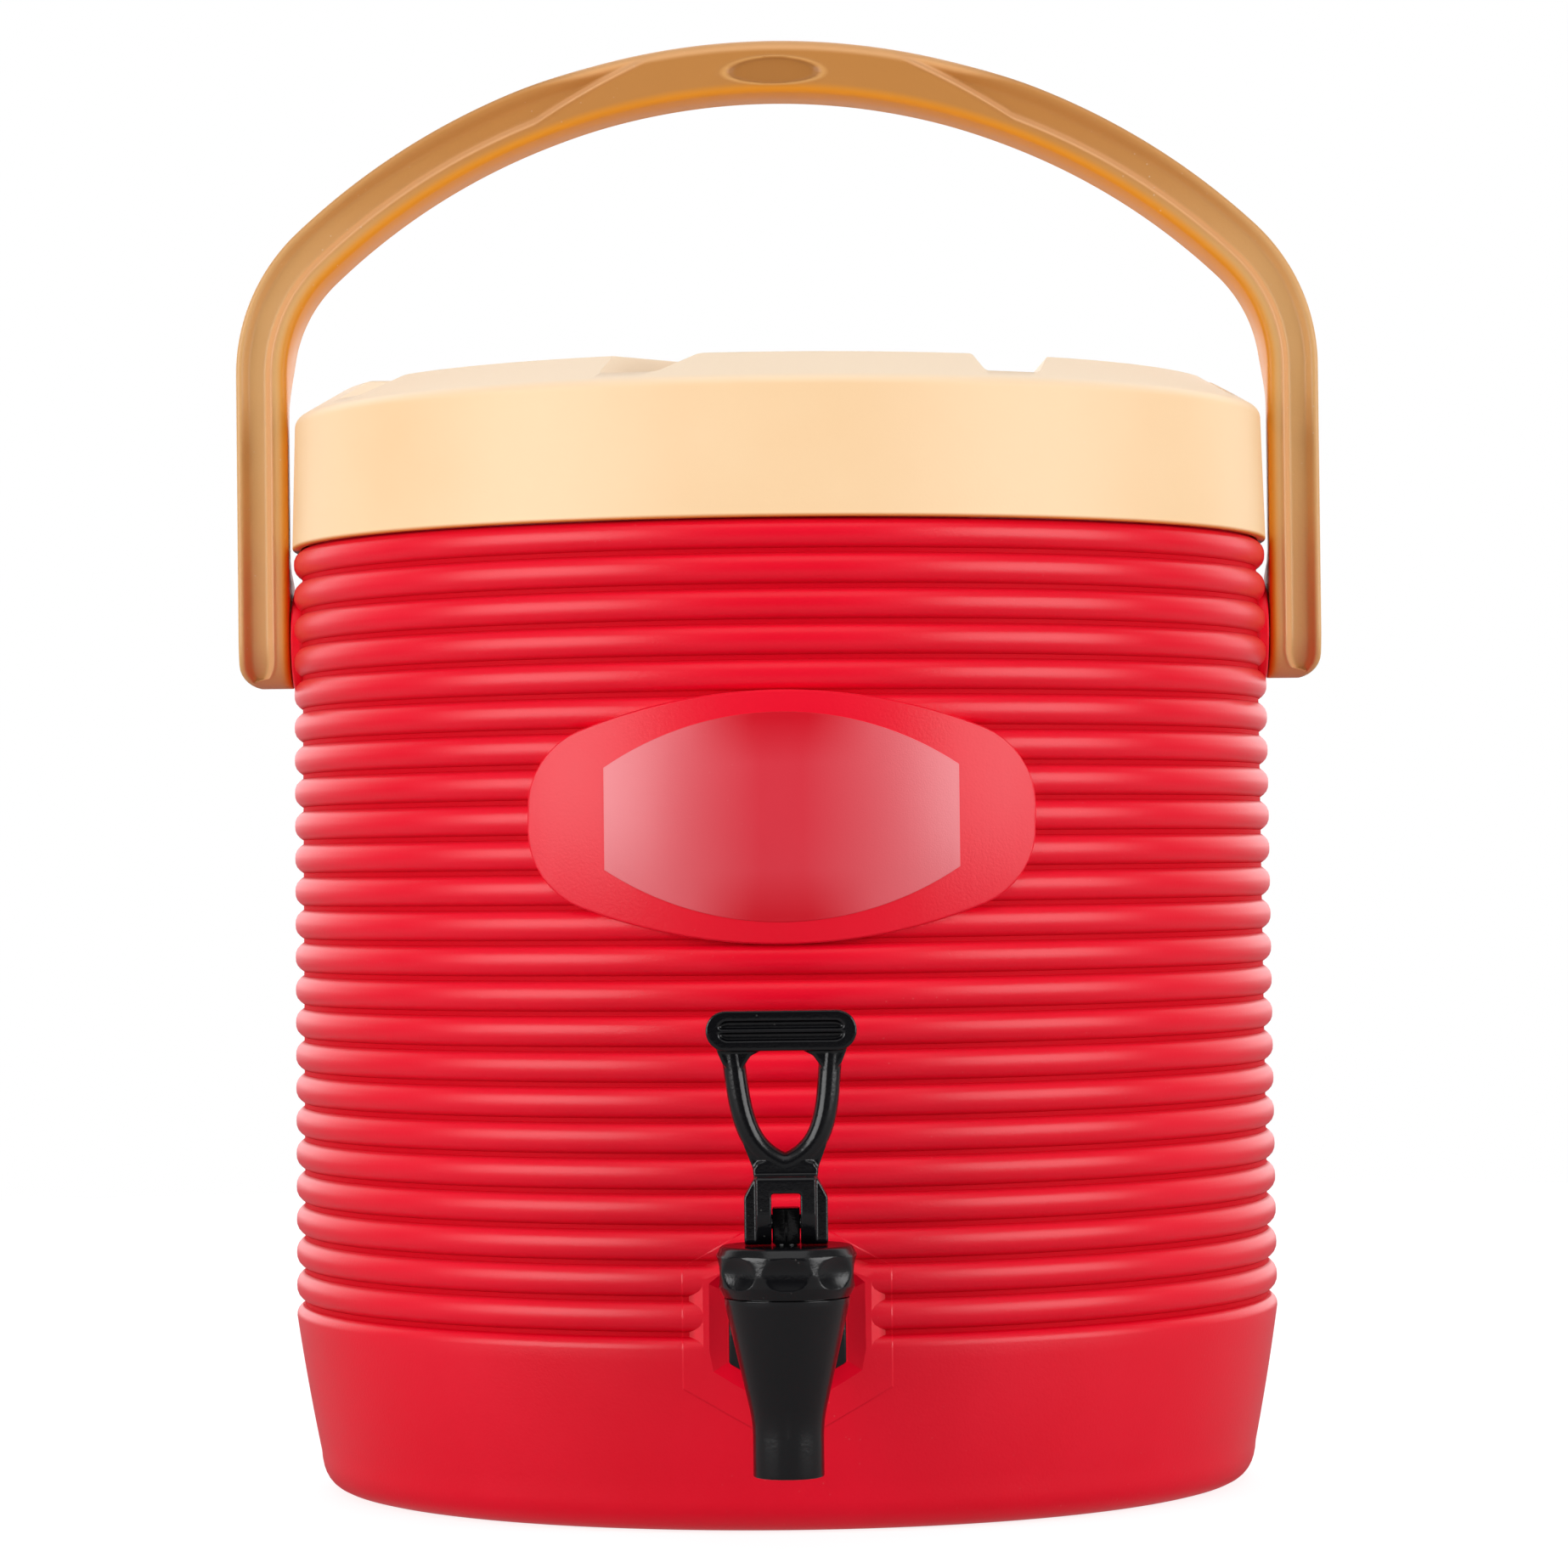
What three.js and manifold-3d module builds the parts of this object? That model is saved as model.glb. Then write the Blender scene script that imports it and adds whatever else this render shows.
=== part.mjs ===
// Insulated drink barrel with a screw lid, a swinging bail and a lever tap.
// Millimetres, +Z up. The origin is on the barrel's axis in the plane it stands on,
// the tap points along -Y and the bail's two pivots lie along X.

import * as THREE from 'three';
import { mergeVertices } from 'three/addons/utils/BufferGeometryUtils.js';
import Module from 'manifold-3d';

const wasm = await Module();
wasm.setup();

// Clearances shared by the whole part
const seat_gap = 0.3;
const running_gap = 0.6;
const cut_overrun = 4;

// Barrel shell
const barrel_sides = 32;
const barrel_radius = 150.2;
const barrel_flare = 1.1;
const rib_count = 23;
const rib_pitch = 10.07;
const rib_depth = 2.5;
const top_rib_trim = 1;
const shell_wall = 2.6;
const skirt_height = 56.8;
const skirt_top_land = 3.6;
const skirt_ledge = 0;
const skirt_taper = 6;
const skirt_low_height = 11;
const skirt_bulge = 0.6;
const foot_inset = 15;
const foot_ledge = 15.2;
const foot_thickness = 3;

// Oval pad and its blank label
const pad_drop = 84.6;
const pad_half_width = 73;
const pad_half_height = 36;
const pad_arc_radius = 160.6;
const pad_end_straight = 2.9;
const pad_proud = 1;
const label_side_margin = 22.5;
const label_top_margin = 6.3;
const label_side_half_height = 14.5;
const label_thickness = 0.7;

// Base plate
const base_lip_width = 6;
const base_lip_thickness = 2.2;

// Liner
const insulation_depth = 17.1;
const liner_wall = 1;
const drain_height = 34.6;
const liner_corner = 14;
const liner_rim_reach = 9.5;

// Neck ring with its thread ramps
const collar_skirt = 12.9;
const collar_wall = 3;
const collar_flange_reach = 1.5;
const collar_flange_thickness = 2.5;
const collar_height = 16.1;
const thread_starts = 3;
const thread_lead = 36;
const thread_clearance = 1.1;
const ramp_reach = 3;
const ramp_thickness = 2.8;
const ramp_sweep = 70;
const ramp_lead_in = 5;
const ramp_root_height = 6;
const lug_sweep = 20;
const lug_thickness = 2.8;

// Lid
const lid_overhang = 0.4;
const lid_draft = 1.2;
const lid_wall = 2.9;
const lid_side_height = 39.4;
const lid_corner = 4;
const lid_bevel_width = 16.1;
const lid_bevel_rise = 8.6;
const lid_top_wall = 3.5;
const channel_count = 8;
const channel_depth = 6;
const channel_floor_width = 16;
const channel_wall_run = 3.4;
const channel_turn = 28;
const channel_first = 30;
const channel_hub_margin = 2;
const plug_clearance = 2.5;
const cover_plug_depth = 13;
const cover_wall = 2.5;
const cover_step_width = 6.5;
const gasket_inset = 1.5;
const gasket_width = 6;
const gasket_thickness = 3;

// Bail handle
const pivot_drop = 27.41;
const boss_radius = 15.5;
const boss_proud = 0.4;
const pillar_radius = 9;
const pillar_depth = 16;
const handle_thickness = 15.7;
const handle_depth = 29;
const grip_thickness = 16.4;
const arch_bulge = 49.5;
const grip_clearance = 91.7;
const arch_corner_radius = 60;
const arch_inner_corner_radius = 42.7;
const leg_end_rounding = 7;
const channel_rim = 2.6;
const channel_lip = 4.6;
const channel_recess = 3;
const grip_outer_half = 44;
const grip_inner_half = 74;
const oval_half_width = 15;
const oval_half_height = 4.75;
const oval_recess = 0.8;
const bush_radius = 6;
const bush_flange_radius = 9;
const bush_flange_thickness = 1.6;
const screw_radius = 3.8;
const screw_head_radius = 7;
const screw_head_thickness = 2.8;
const socket_radius = 2.6;
const socket_depth = 1.6;
const washer_radius = 7.8;
const washer_thickness = 1.3;
const counterbore_depth = 5;

// Tap: place, pocket and shank
const tap_standoff = 34.8;
const shank_height = 58.6;
const pocket_clearance = 0.5;
const pocket_draft = 7.55;
const frame_slope_reach = 3.1;
const pocket_depth = 6.7;
const pocket_floor_wall = 3.3;
const pocket_rim_wall = 4.5;
const pocket_rim_setback = 1.3;
const shank_radius = 8;
const shank_bore_radius = 4.5;
const shank_protrusion = 16;
const nut_across = 33;
const nut_thickness = 7;
const outer_gasket_radius = 15;
const outer_gasket_thickness = 2.5;
const inner_gasket_radius = 12.5;
const inner_gasket_thickness = 3;
const locknut_across = 25;
const locknut_thickness = 6;

// Tap: body, bonnet and valve
const spout_radius = 9.8;
const spout_drop = 37.7;
const spout_straight = 13.8;
const spout_bore_radius = 7.7;
const throat_radius = 6.8;
const throat_length = 4;
const cone_shoulder = 2.5;
const cone_rise = 11.6;
const body_wall = 2.6;
const neck_height = 9;
const chamber_radius = 12.4;
const chamber_drop = 8.6;
const bonnet_wall = 4.5;
const bonnet_height = 14.4;
const bonnet_roof = 3.2;
const bonnet_edge = 2;
const scallop_count = 8;
const scallop_half_width = 6.4;
const scallop_half_height = 4.6;
const scallop_depth = 1.6;
const stem_radius = 3;
const stem_head_width = 7.6;
const stem_head_depth = 8;
const stem_head_rise = 3.9;
const stem_entry = 8;
const cup_clearance = 1.8;
const cup_height = 10.5;
const cup_nose = 2.5;
const spring_radius = 5.4;
const spring_wire_radius = 0.6;
const spring_turns = 5;

// Tap: lever
const pin_rise = 6.4;
const pin_radius = 2;
const lever_block_width = 23;
const lever_block_rise = 13.6;
const lever_block_rear = 8;
const lever_front_width = 16.4;
const lever_front_depth = 4.5;
const cheek_drop = 6.6;
const lever_slot_rise = 7.6;
const lever_tilt = 75;
const stem_lift = 4;
const loop_height = 32.6;
const loop_top_half = 16.6;
const loop_foot_half = 8.6;
const loop_thickness = 9;
const loop_hole_half = 10.2;
const loop_hole_rise = 3.5;
const loop_hole_corner = 3;
const bar_half_width = 20.8;
const bar_root = 1;
const bar_height = 11;
const bar_thickness = 12;
const bar_rounding = 5;
const bar_groove_half = 17.5;
const bar_groove_height = 5;
const bar_ridge_height = 0.9;
const bar_groove_depth = 1.2;

// Shares of the sizes that they follow
const rib_shoulder_share = 0.24;
const corner_near_share = 0.3;
const corner_far_share = 0.3;
const loop_bend_share = 0.92;
const loop_low_share = 0.22;
const loop_high_share = 0.55;
const hole_low_share = 0.3;
const hole_foot_share = 0.55;
const hole_side_share = 0.75;
const groove_end_share = 0.45;

// Facet counts and angles
const round_sides = 18;
const small_sides = 12;
const scallop_sides = 8;
const arc_steps = 4;
const arch_steps = 8;
const cam_steps = 9;
const skirt_steps = 3;
const thread_step = 12;
const thread_first = 10;
const spring_steps_per_turn = 8;
const spring_wire_sides = 2;
const half_turn = Math.PI;
const quarter_turn = half_turn / 2;
const full_turn = half_turn * 2;
const to_radians = THREE.MathUtils.degToRad;

// Barrel sizes that follow from the ones above
const shell_inner_radius = barrel_radius - rib_depth - shell_wall;
const shell_top = skirt_height + rib_count * rib_pitch - top_rib_trim;
const skirt_low_radius = barrel_radius - skirt_taper;
const foot_radius = barrel_radius - foot_inset;
const foot_inner_radius = foot_radius - foot_ledge;
const pad_centre_height = shell_top - pad_drop;
const pad_radius = barrel_radius + barrel_flare / 2 + pad_proud;
const label_half_width = pad_half_width - label_side_margin;
const label_half_height = pad_half_height - label_top_margin;
const liner_radius = shell_inner_radius - insulation_depth;
const liner_floor_height = shank_height - drain_height;

// Lid and neck sizes
const lid_radius = barrel_radius + lid_overhang;
const lid_inner_radius = lid_radius - lid_wall;
const lid_pad_edge_radius = lid_radius - lid_bevel_width;
const lid_bottom = shell_top + running_gap;
const lid_side_top = lid_bottom + lid_side_height;
const lid_top = lid_side_top + lid_bevel_rise;
const collar_seat = shell_top + seat_gap;
const collar_top = collar_seat + collar_height - seat_gap;
const collar_neck_radius = lid_inner_radius - thread_clearance - ramp_reach;
const liner_top = collar_top + seat_gap + liner_wall;
const gasket_inner_radius = liner_radius + liner_wall + gasket_inset;
const gasket_bottom = liner_top + seat_gap;
const cover_flange_bottom = gasket_bottom + gasket_thickness + seat_gap;
const cover_flange_top = cover_flange_bottom + cover_wall;
const cover_plug_radius = liner_radius - plug_clearance;

// Handle sizes
const pivot_height = shell_top - pivot_drop;
const boss_face = barrel_radius + boss_proud;
const handle_inner = boss_face + running_gap;
const handle_outer = handle_inner + handle_thickness;
const handle_bore_radius = bush_radius + seat_gap;
const bore_end = handle_outer - counterbore_depth;
const arch_radius = handle_outer + arch_bulge;
const arch_centre_height = lid_top + grip_clearance + grip_thickness - arch_radius;

// Tap sizes
const tap_reach = barrel_radius + tap_standoff;
const pocket_floor = barrel_radius - pocket_depth;
const pocket_floor_across = nut_across + 2 * pocket_clearance;
const pocket_mouth_across = pocket_floor_across + 2 * pocket_draft;
const nut_front = pocket_floor + outer_gasket_thickness + nut_thickness + 2 * seat_gap;
const shank_length = tap_reach - liner_radius + shank_protrusion;
const spout_bottom = shank_height - spout_drop;
const chamber_floor = shank_height - chamber_drop;
const cone_top = shank_height + cone_rise;
const neck_radius = chamber_radius + body_wall;
const cone_radius = neck_radius + cone_shoulder;
const cup_radius = chamber_radius - cup_clearance;
const bonnet_radius = neck_radius + bonnet_wall;
const bonnet_top = cone_top + bonnet_height;
const stem_cap = bonnet_top + seat_gap;
const pin_height = bonnet_top + pin_rise;
const stem_head_top = pin_height + stem_head_rise;
const lever_slot_top = pin_height + lever_slot_rise;
const lever_block_top = pin_height + lever_block_rise;
const loop_hole_floor = lever_block_top + loop_hole_rise;
const loop_top = lever_block_top + loop_height;

// Turns a closed geometry into a solid that can be joined and cut
function solid_of(geometry) {
  const bare = geometry.clone();
  bare.deleteAttribute('normal');
  bare.deleteAttribute('uv');
  const merged = mergeVertices(bare);
  const index = merged.index.array;
  const corners = [];
  for (let i = 0; i < index.length; i += 3) {
    const [a, b, c] = index.slice(i, i + 3);
    if (a !== b && b !== c && c !== a) corners.push(a, b, c);
  }
  return new wasm.Manifold(new wasm.Mesh({
    numProp: 3,
    vertProperties: new Float32Array(merged.attributes.position.array),
    triVerts: new Uint32Array(corners),
  }));
}

function geometry_of(solid) {
  const mesh = solid.getMesh();
  const geometry = new THREE.BufferGeometry();
  geometry.setAttribute('position', new THREE.BufferAttribute(mesh.vertProperties, 3));
  geometry.setIndex(new THREE.BufferAttribute(mesh.triVerts, 1));
  return geometry;
}

// Revolves a closed profile of [radius, height] pairs about the Z axis
function revolve(profile, sides = barrel_sides) {
  const points = profile.map(([radius, height]) => new THREE.Vector2(radius, height));
  points.push(points[0].clone());
  return solid_of(new THREE.LatheGeometry(points, sides).rotateX(quarter_turn));
}

function ring(inner, outer, low, high, sides = barrel_sides) {
  return revolve([[inner, low], [outer, low], [outer, high], [inner, high]], sides);
}

function disc(radius, low, high, sides = barrel_sides) {
  return ring(0, radius, low, high, sides);
}

// Extrusions of an outline along each axis, from low to high on that axis
function prism_z(shape, low, high, steps = arc_steps) {
  const options = { depth: high - low, bevelEnabled: false, curveSegments: steps };
  return solid_of(new THREE.ExtrudeGeometry(shape, options).translate(0, 0, low));
}

function prism_y(shape, low, high, steps = arc_steps) {
  const options = { depth: high - low, bevelEnabled: false, curveSegments: steps };
  const geometry = new THREE.ExtrudeGeometry(shape, options);
  return solid_of(geometry.rotateX(quarter_turn).translate(0, high, 0));
}

function prism_x(shape, low, high, steps = arc_steps) {
  const options = { depth: high - low, bevelEnabled: false, curveSegments: steps };
  const turn = new THREE.Matrix4().makeBasis(
    new THREE.Vector3(0, 1, 0), new THREE.Vector3(0, 0, 1), new THREE.Vector3(1, 0, 0));
  return solid_of(new THREE.ExtrudeGeometry(shape, options).applyMatrix4(turn).translate(low, 0, 0));
}

function round_x(radius, low, high, height, sides = round_sides) {
  const rod = new THREE.CylinderGeometry(radius, radius, high - low, sides);
  return solid_of(rod.rotateZ(quarter_turn).translate((low + high) / 2, 0, height));
}

function round_y(radius, low, high, height, sides = round_sides) {
  const rod = new THREE.CylinderGeometry(radius, radius, high - low, sides);
  return solid_of(rod.translate(0, (low + high) / 2, 0).translate(0, 0, height));
}

function block(width, depth, low, high) {
  const box = new THREE.BoxGeometry(width, depth, high - low);
  return solid_of(box.translate(0, 0, (low + high) / 2));
}

function polygon(points) {
  return new THREE.Shape(points.map(([x, y]) => new THREE.Vector2(x, y)));
}

function circle(radius, x = 0, y = 0) {
  return new THREE.Shape().absarc(x, y, radius, 0, full_turn, false);
}

// Regular hexagon with two upright flats, centred at a height
function hexagon(across, height) {
  const corner = across / 2 / Math.cos(half_turn / 6);
  const points = [];
  for (let i = 0; i < 6; i += 1) {
    const angle = quarter_turn + i * full_turn / 6;
    points.push([corner * Math.cos(angle), height + corner * Math.sin(angle)]);
  }
  return polygon(points);
}

// Upright hexagon that changes size along Y, between two depths
function hexagon_taper(rear_across, front_across, rear, front) {
  const share = 1 / Math.cos(half_turn / 6) / 2;
  const taper = new THREE.CylinderGeometry(rear_across * share, front_across * share, rear - front, 6);
  return solid_of(taper.translate(0, (rear + front) / 2, shank_height));
}

function union(solids) {
  return solids.reduce((sum, solid) => sum.add(solid));
}

function finish(colour, roughness, metalness = 0) {
  return { color: colour, roughness, metalness };
}

const red_plastic = finish(0xd81e32, 0.45);
const label_film = finish(0xd9505c, 0.5);
const cream_plastic = finish(0xfed7aa, 0.5);
const tan_plastic = finish(0xc8873c, 0.5);
const black_plastic = finish(0x1c1c1e, 0.4);
const white_plastic = finish(0xf2f0ea, 0.5);
const steel = finish(0xb8bbc0, 0.3, 1);
const silicone = finish(0xe6e4de, 0.7);
const foam = finish(0xefe6c8, 0.9);

function piece(name, solid, look) {
  const geometry = solid.isBufferGeometry ? solid : geometry_of(solid);
  const mesh = new THREE.Mesh(geometry, new THREE.MeshStandardMaterial(look));
  mesh.name = name;
  return mesh;
}

// Outer line of the smooth skirt, from the foot to just under the lowest rib
function skirt_line() {
  const crest = barrel_radius + barrel_flare + skirt_ledge;
  const high = skirt_height - skirt_top_land;
  const path = new THREE.Path().moveTo(foot_radius, 0);
  path.quadraticCurveTo(skirt_low_radius - skirt_bulge, 0, skirt_low_radius, skirt_low_height);
  const mid_radius = (skirt_low_radius + crest) / 2 + skirt_bulge;
  path.quadraticCurveTo(mid_radius, (skirt_low_height + high) / 2, crest, high);
  return path.getPoints(skirt_steps).map((point) => [point.x, point.y]);
}

// Inner line of the shell, drawn in by a gap, from the foot's top to a given height
function inner_line(inset, top) {
  const low_radius = skirt_low_radius - shell_wall - inset;
  return [
    [foot_radius - inset, foot_thickness + inset],
    [low_radius, skirt_low_height + inset],
    [shell_inner_radius - inset, skirt_height],
    [shell_inner_radius - inset, top],
  ];
}

function rib_line() {
  const points = [];
  for (let i = 0; i < rib_count; i += 1) {
    const crest = barrel_radius + barrel_flare * (1 - i / (rib_count - 1));
    const low = skirt_height + i * rib_pitch;
    const shoulder = rib_pitch * rib_shoulder_share;
    points.push([crest - rib_depth, low]);
    points.push([crest, low + shoulder]);
    points.push([crest, low + rib_pitch - shoulder]);
  }
  points.push([barrel_radius - rib_depth, shell_top]);
  return points;
}

// The barrel's outline with its grooves filled, which the pocket's frame follows
function crest_line() {
  return [[0, 0], ...skirt_line(), [barrel_radius + barrel_flare, skirt_height],
    [barrel_radius, shell_top], [0, shell_top]];
}

// Outline of the oval pad: two long arcs joined by rounded ends
function pad_outline() {
  const arc_drop = pad_arc_radius - pad_half_height;
  const end_height = arc_drop + pad_end_straight;
  const spare = pad_arc_radius ** 2 - pad_half_width ** 2 - end_height ** 2;
  const end_radius = spare / (2 * (pad_arc_radius - pad_half_width));
  const end_x = pad_half_width - end_radius;
  const end_rise = pad_end_straight;
  const angle = Math.atan2(end_height, end_x);
  const mid = pad_centre_height;
  const shape = new THREE.Shape();
  shape.absarc(0, mid - arc_drop, pad_arc_radius, angle, half_turn - angle, false);
  shape.absarc(-end_x, mid + end_rise, end_radius, half_turn - angle, half_turn, false);
  shape.absarc(-end_x, mid - end_rise, end_radius, half_turn, half_turn + angle, false);
  shape.absarc(0, mid + arc_drop, pad_arc_radius, half_turn + angle, full_turn - angle, false);
  shape.absarc(end_x, mid - end_rise, end_radius, full_turn - angle, full_turn, false);
  shape.absarc(end_x, mid + end_rise, end_radius, 0, angle, false);
  return shape;
}

// Outline of the blank label: upright sides and arched top and bottom
function label_outline() {
  const rise = label_half_height - label_side_half_height;
  const radius = (label_half_width ** 2 + rise ** 2) / (2 * rise);
  const angle = Math.acos(label_half_width / radius);
  const drop = radius - label_half_height;
  const shape = new THREE.Shape();
  shape.absarc(0, pad_centre_height - drop, radius, angle, half_turn - angle, false);
  shape.absarc(0, pad_centre_height + drop, radius, half_turn + angle, full_turn - angle, false);
  return shape;
}

// A band of the barrel's own roundness, seen through an outline from the front
function front_patch(outline, inner, outer, low, high) {
  const window = prism_y(outline, -outer - cut_overrun, 0);
  return ring(inner, outer, low, high).intersect(window);
}

function screw_pillar(side, radius, from, to, sides = round_sides) {
  const low = Math.min(side * from, side * to);
  const high = Math.max(side * from, side * to);
  return round_x(radius, low, high, pivot_height, sides);
}

function make_outer_shell() {
  const pad_low = pad_centre_height - pad_half_height;
  const pad_high = pad_centre_height + pad_half_height;
  const outside = revolve([[0, 0], ...skirt_line(), ...rib_line(), [0, shell_top]]);
  const pad = front_patch(pad_outline(), shell_inner_radius, pad_radius, pad_low - cut_overrun,
    pad_high + cut_overrun);
  const inside = revolve([
    [0, foot_thickness],
    ...inner_line(0, shell_top + cut_overrun),
    [0, shell_top + cut_overrun],
  ]);
  const floor_hole = disc(foot_inner_radius, -cut_overrun, foot_thickness + cut_overrun);
  const rim_across = pocket_floor_across + 2 * pocket_rim_wall;
  const rim_front = pocket_floor + pocket_rim_setback;
  const rim_back = pocket_floor - pocket_floor_wall;
  const pocket_rim = prism_y(hexagon(rim_across, shank_height), -rim_front, -rim_back);
  const mouth = barrel_radius + barrel_flare;
  const frame_depth = rib_depth + shell_wall;
  const frame_root = pocket_mouth_across + 2 * frame_slope_reach * frame_depth / rib_depth;
  const frame = hexagon_taper(frame_root, pocket_mouth_across, frame_depth - mouth, -mouth);
  const opened = pocket_mouth_across + 2 * pocket_draft * cut_overrun / (mouth - pocket_floor);
  const pocket = hexagon_taper(pocket_floor_across, opened, -pocket_floor, -mouth - cut_overrun);
  const shank_hole = round_y(shank_radius + seat_gap, -tap_reach, 0, shank_height);
  const bosses = [];
  const pillars = [];
  const holes = [];
  for (const side of [-1, 1]) {
    bosses.push(screw_pillar(side, boss_radius, shell_inner_radius - shell_wall, boss_face));
    pillars.push(screw_pillar(side, pillar_radius, boss_face - pillar_depth, shell_inner_radius + seat_gap));
    holes.push(screw_pillar(side, screw_radius + seat_gap, boss_face - pillar_depth + shell_wall,
      boss_face + cut_overrun));
  }
  return outside
    .add(frame.intersect(revolve(crest_line())))
    .add(pad)
    .add(union(bosses))
    .subtract(inside)
    .subtract(floor_hole)
    .add(pocket_rim)
    .add(union(pillars))
    .subtract(pocket)
    .subtract(shank_hole)
    .subtract(union(holes));
}

function make_front_label() {
  const low = pad_centre_height - label_half_height - cut_overrun;
  const high = pad_centre_height + label_half_height + cut_overrun;
  const inner = pad_radius + seat_gap;
  return front_patch(label_outline(), inner, inner + label_thickness, low, high);
}

function make_base_cover() {
  const lip_bottom = foot_thickness + seat_gap;
  return revolve([
    [0, 0],
    [foot_inner_radius - seat_gap, 0],
    [foot_inner_radius - seat_gap, lip_bottom],
    [foot_inner_radius + base_lip_width, lip_bottom],
    [foot_inner_radius + base_lip_width, lip_bottom + base_lip_thickness],
    [0, lip_bottom + base_lip_thickness],
  ]);
}

// Outer line of the liner's cup, widened by a gap, from its centre to a given height
function liner_line(offset, top) {
  const radius = liner_radius + offset;
  const floor = liner_floor_height - offset;
  const path = new THREE.Path().moveTo(liner_radius - liner_corner, floor);
  path.absarc(liner_radius - liner_corner, liner_floor_height + liner_corner, liner_corner + offset,
    -quarter_turn, 0, false);
  const corner = path.getPoints(1).slice(1).map((point) => [point.x, point.y]);
  return [[0, floor], ...corner, [radius, top]];
}

function make_inner_liner() {
  const rim_radius = liner_radius + liner_wall + liner_rim_reach;
  const rim_bottom = liner_top - liner_wall;
  const outside = liner_line(liner_wall, rim_bottom);
  const inside = liner_line(0, liner_top).reverse();
  const cup = revolve([...outside, [rim_radius, rim_bottom], [rim_radius, liner_top], ...inside]);
  return cup.subtract(round_y(shank_radius + seat_gap, -tap_reach, 0, shank_height));
}

function make_foam_jacket() {
  const cover_top = foot_thickness + seat_gap + base_lip_thickness + seat_gap;
  const lip_radius = foot_inner_radius + base_lip_width + seat_gap;
  const top = collar_seat - collar_skirt - seat_gap;
  const outer = inner_line(seat_gap, top);
  const inner = liner_line(liner_wall + seat_gap, top).reverse();
  const jacket = revolve([
    [0, cover_top],
    [lip_radius, cover_top],
    [lip_radius, foot_thickness + seat_gap],
    ...outer,
    ...inner,
  ]);
  const rim_across = pocket_floor_across + 2 * (pocket_rim_wall + seat_gap);
  const rim_back = pocket_floor - pocket_floor_wall - seat_gap;
  const room = [
    prism_y(hexagon(rim_across, shank_height), -tap_reach, -rim_back),
    round_y(shank_radius + seat_gap, -tap_reach, 0, shank_height),
  ];
  for (const side of [-1, 1]) {
    room.push(screw_pillar(side, pillar_radius + seat_gap, boss_face - pillar_depth - seat_gap,
      boss_face));
  }
  return jacket.subtract(union(room));
}

// A slice of a ring whose height climbs with the thread as it goes round
function helical_slice(inner, outer, low, thickness, start, sweep) {
  const from = to_radians(start);
  const to = to_radians(start + sweep);
  const shape = new THREE.Shape();
  shape.absarc(0, 0, outer, from, to, false);
  shape.absarc(0, 0, inner, to, from, true);
  const steps = Math.ceil(sweep / thread_step);
  const options = { depth: thickness, bevelEnabled: false, curveSegments: steps };
  const geometry = new THREE.ExtrudeGeometry(shape, options).translate(0, 0, low);
  const place = geometry.attributes.position;
  for (let i = 0; i < place.count; i += 1) {
    const angle = Math.atan2(place.getY(i), place.getX(i));
    const turned = THREE.MathUtils.euclideanModulo(angle - from + quarter_turn, full_turn) - quarter_turn;
    place.setZ(i, place.getZ(i) + thread_lead * turned / full_turn);
  }
  return solid_of(geometry);
}

function thread_slices(inner, outer, low, thickness, lead_in, sweep) {
  const slices = [];
  for (let i = 0; i < thread_starts; i += 1) {
    const start = thread_first + i * 360 / thread_starts;
    const rise = thread_lead * lead_in / 360;
    slices.push(helical_slice(inner, outer, low - rise, thickness, start - lead_in, sweep));
  }
  return union(slices);
}

function make_rim_collar() {
  const foot = collar_seat - collar_skirt;
  const inner = liner_radius + liner_wall + running_gap;
  const outer = shell_inner_radius - seat_gap;
  const flange = outer + collar_flange_reach;
  const roof = collar_top - collar_wall;
  const body = revolve([
    [inner, foot],
    [inner + collar_wall, foot],
    [inner + collar_wall, roof],
    [collar_neck_radius - collar_wall, roof],
    [collar_neck_radius - collar_wall, foot],
    [outer, foot],
    [outer, collar_seat],
    [flange, collar_seat],
    [flange, collar_seat + collar_flange_thickness],
    [collar_neck_radius, collar_seat + collar_flange_thickness],
    [collar_neck_radius, collar_top],
    [inner, collar_top],
  ]);
  const ramps = thread_slices(collar_neck_radius - collar_wall / 2, collar_neck_radius + ramp_reach,
    collar_seat + ramp_root_height, ramp_thickness, ramp_lead_in, ramp_sweep);
  return body.add(ramps);
}

// One slanted channel of the lid's pinwheel: it leaves the hub along its rim and runs
// straight out through the lid's edge
function lid_channel(azimuth) {
  const across = lid_pad_edge_radius * Math.sin(to_radians(channel_turn));
  const floor = lid_top - channel_depth;
  const half = channel_floor_width / 2;
  const wide = half + channel_wall_run * (1 + cut_overrun / channel_depth);
  const top = lid_top + cut_overrun;
  const section = polygon([[-half, floor], [half, floor], [wide, top], [-wide, top]]);
  const trough = prism_x(section, 0, lid_radius);
  return trough.translate([0, across, 0]).rotate([0, 0, azimuth - channel_turn]);
}

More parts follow.
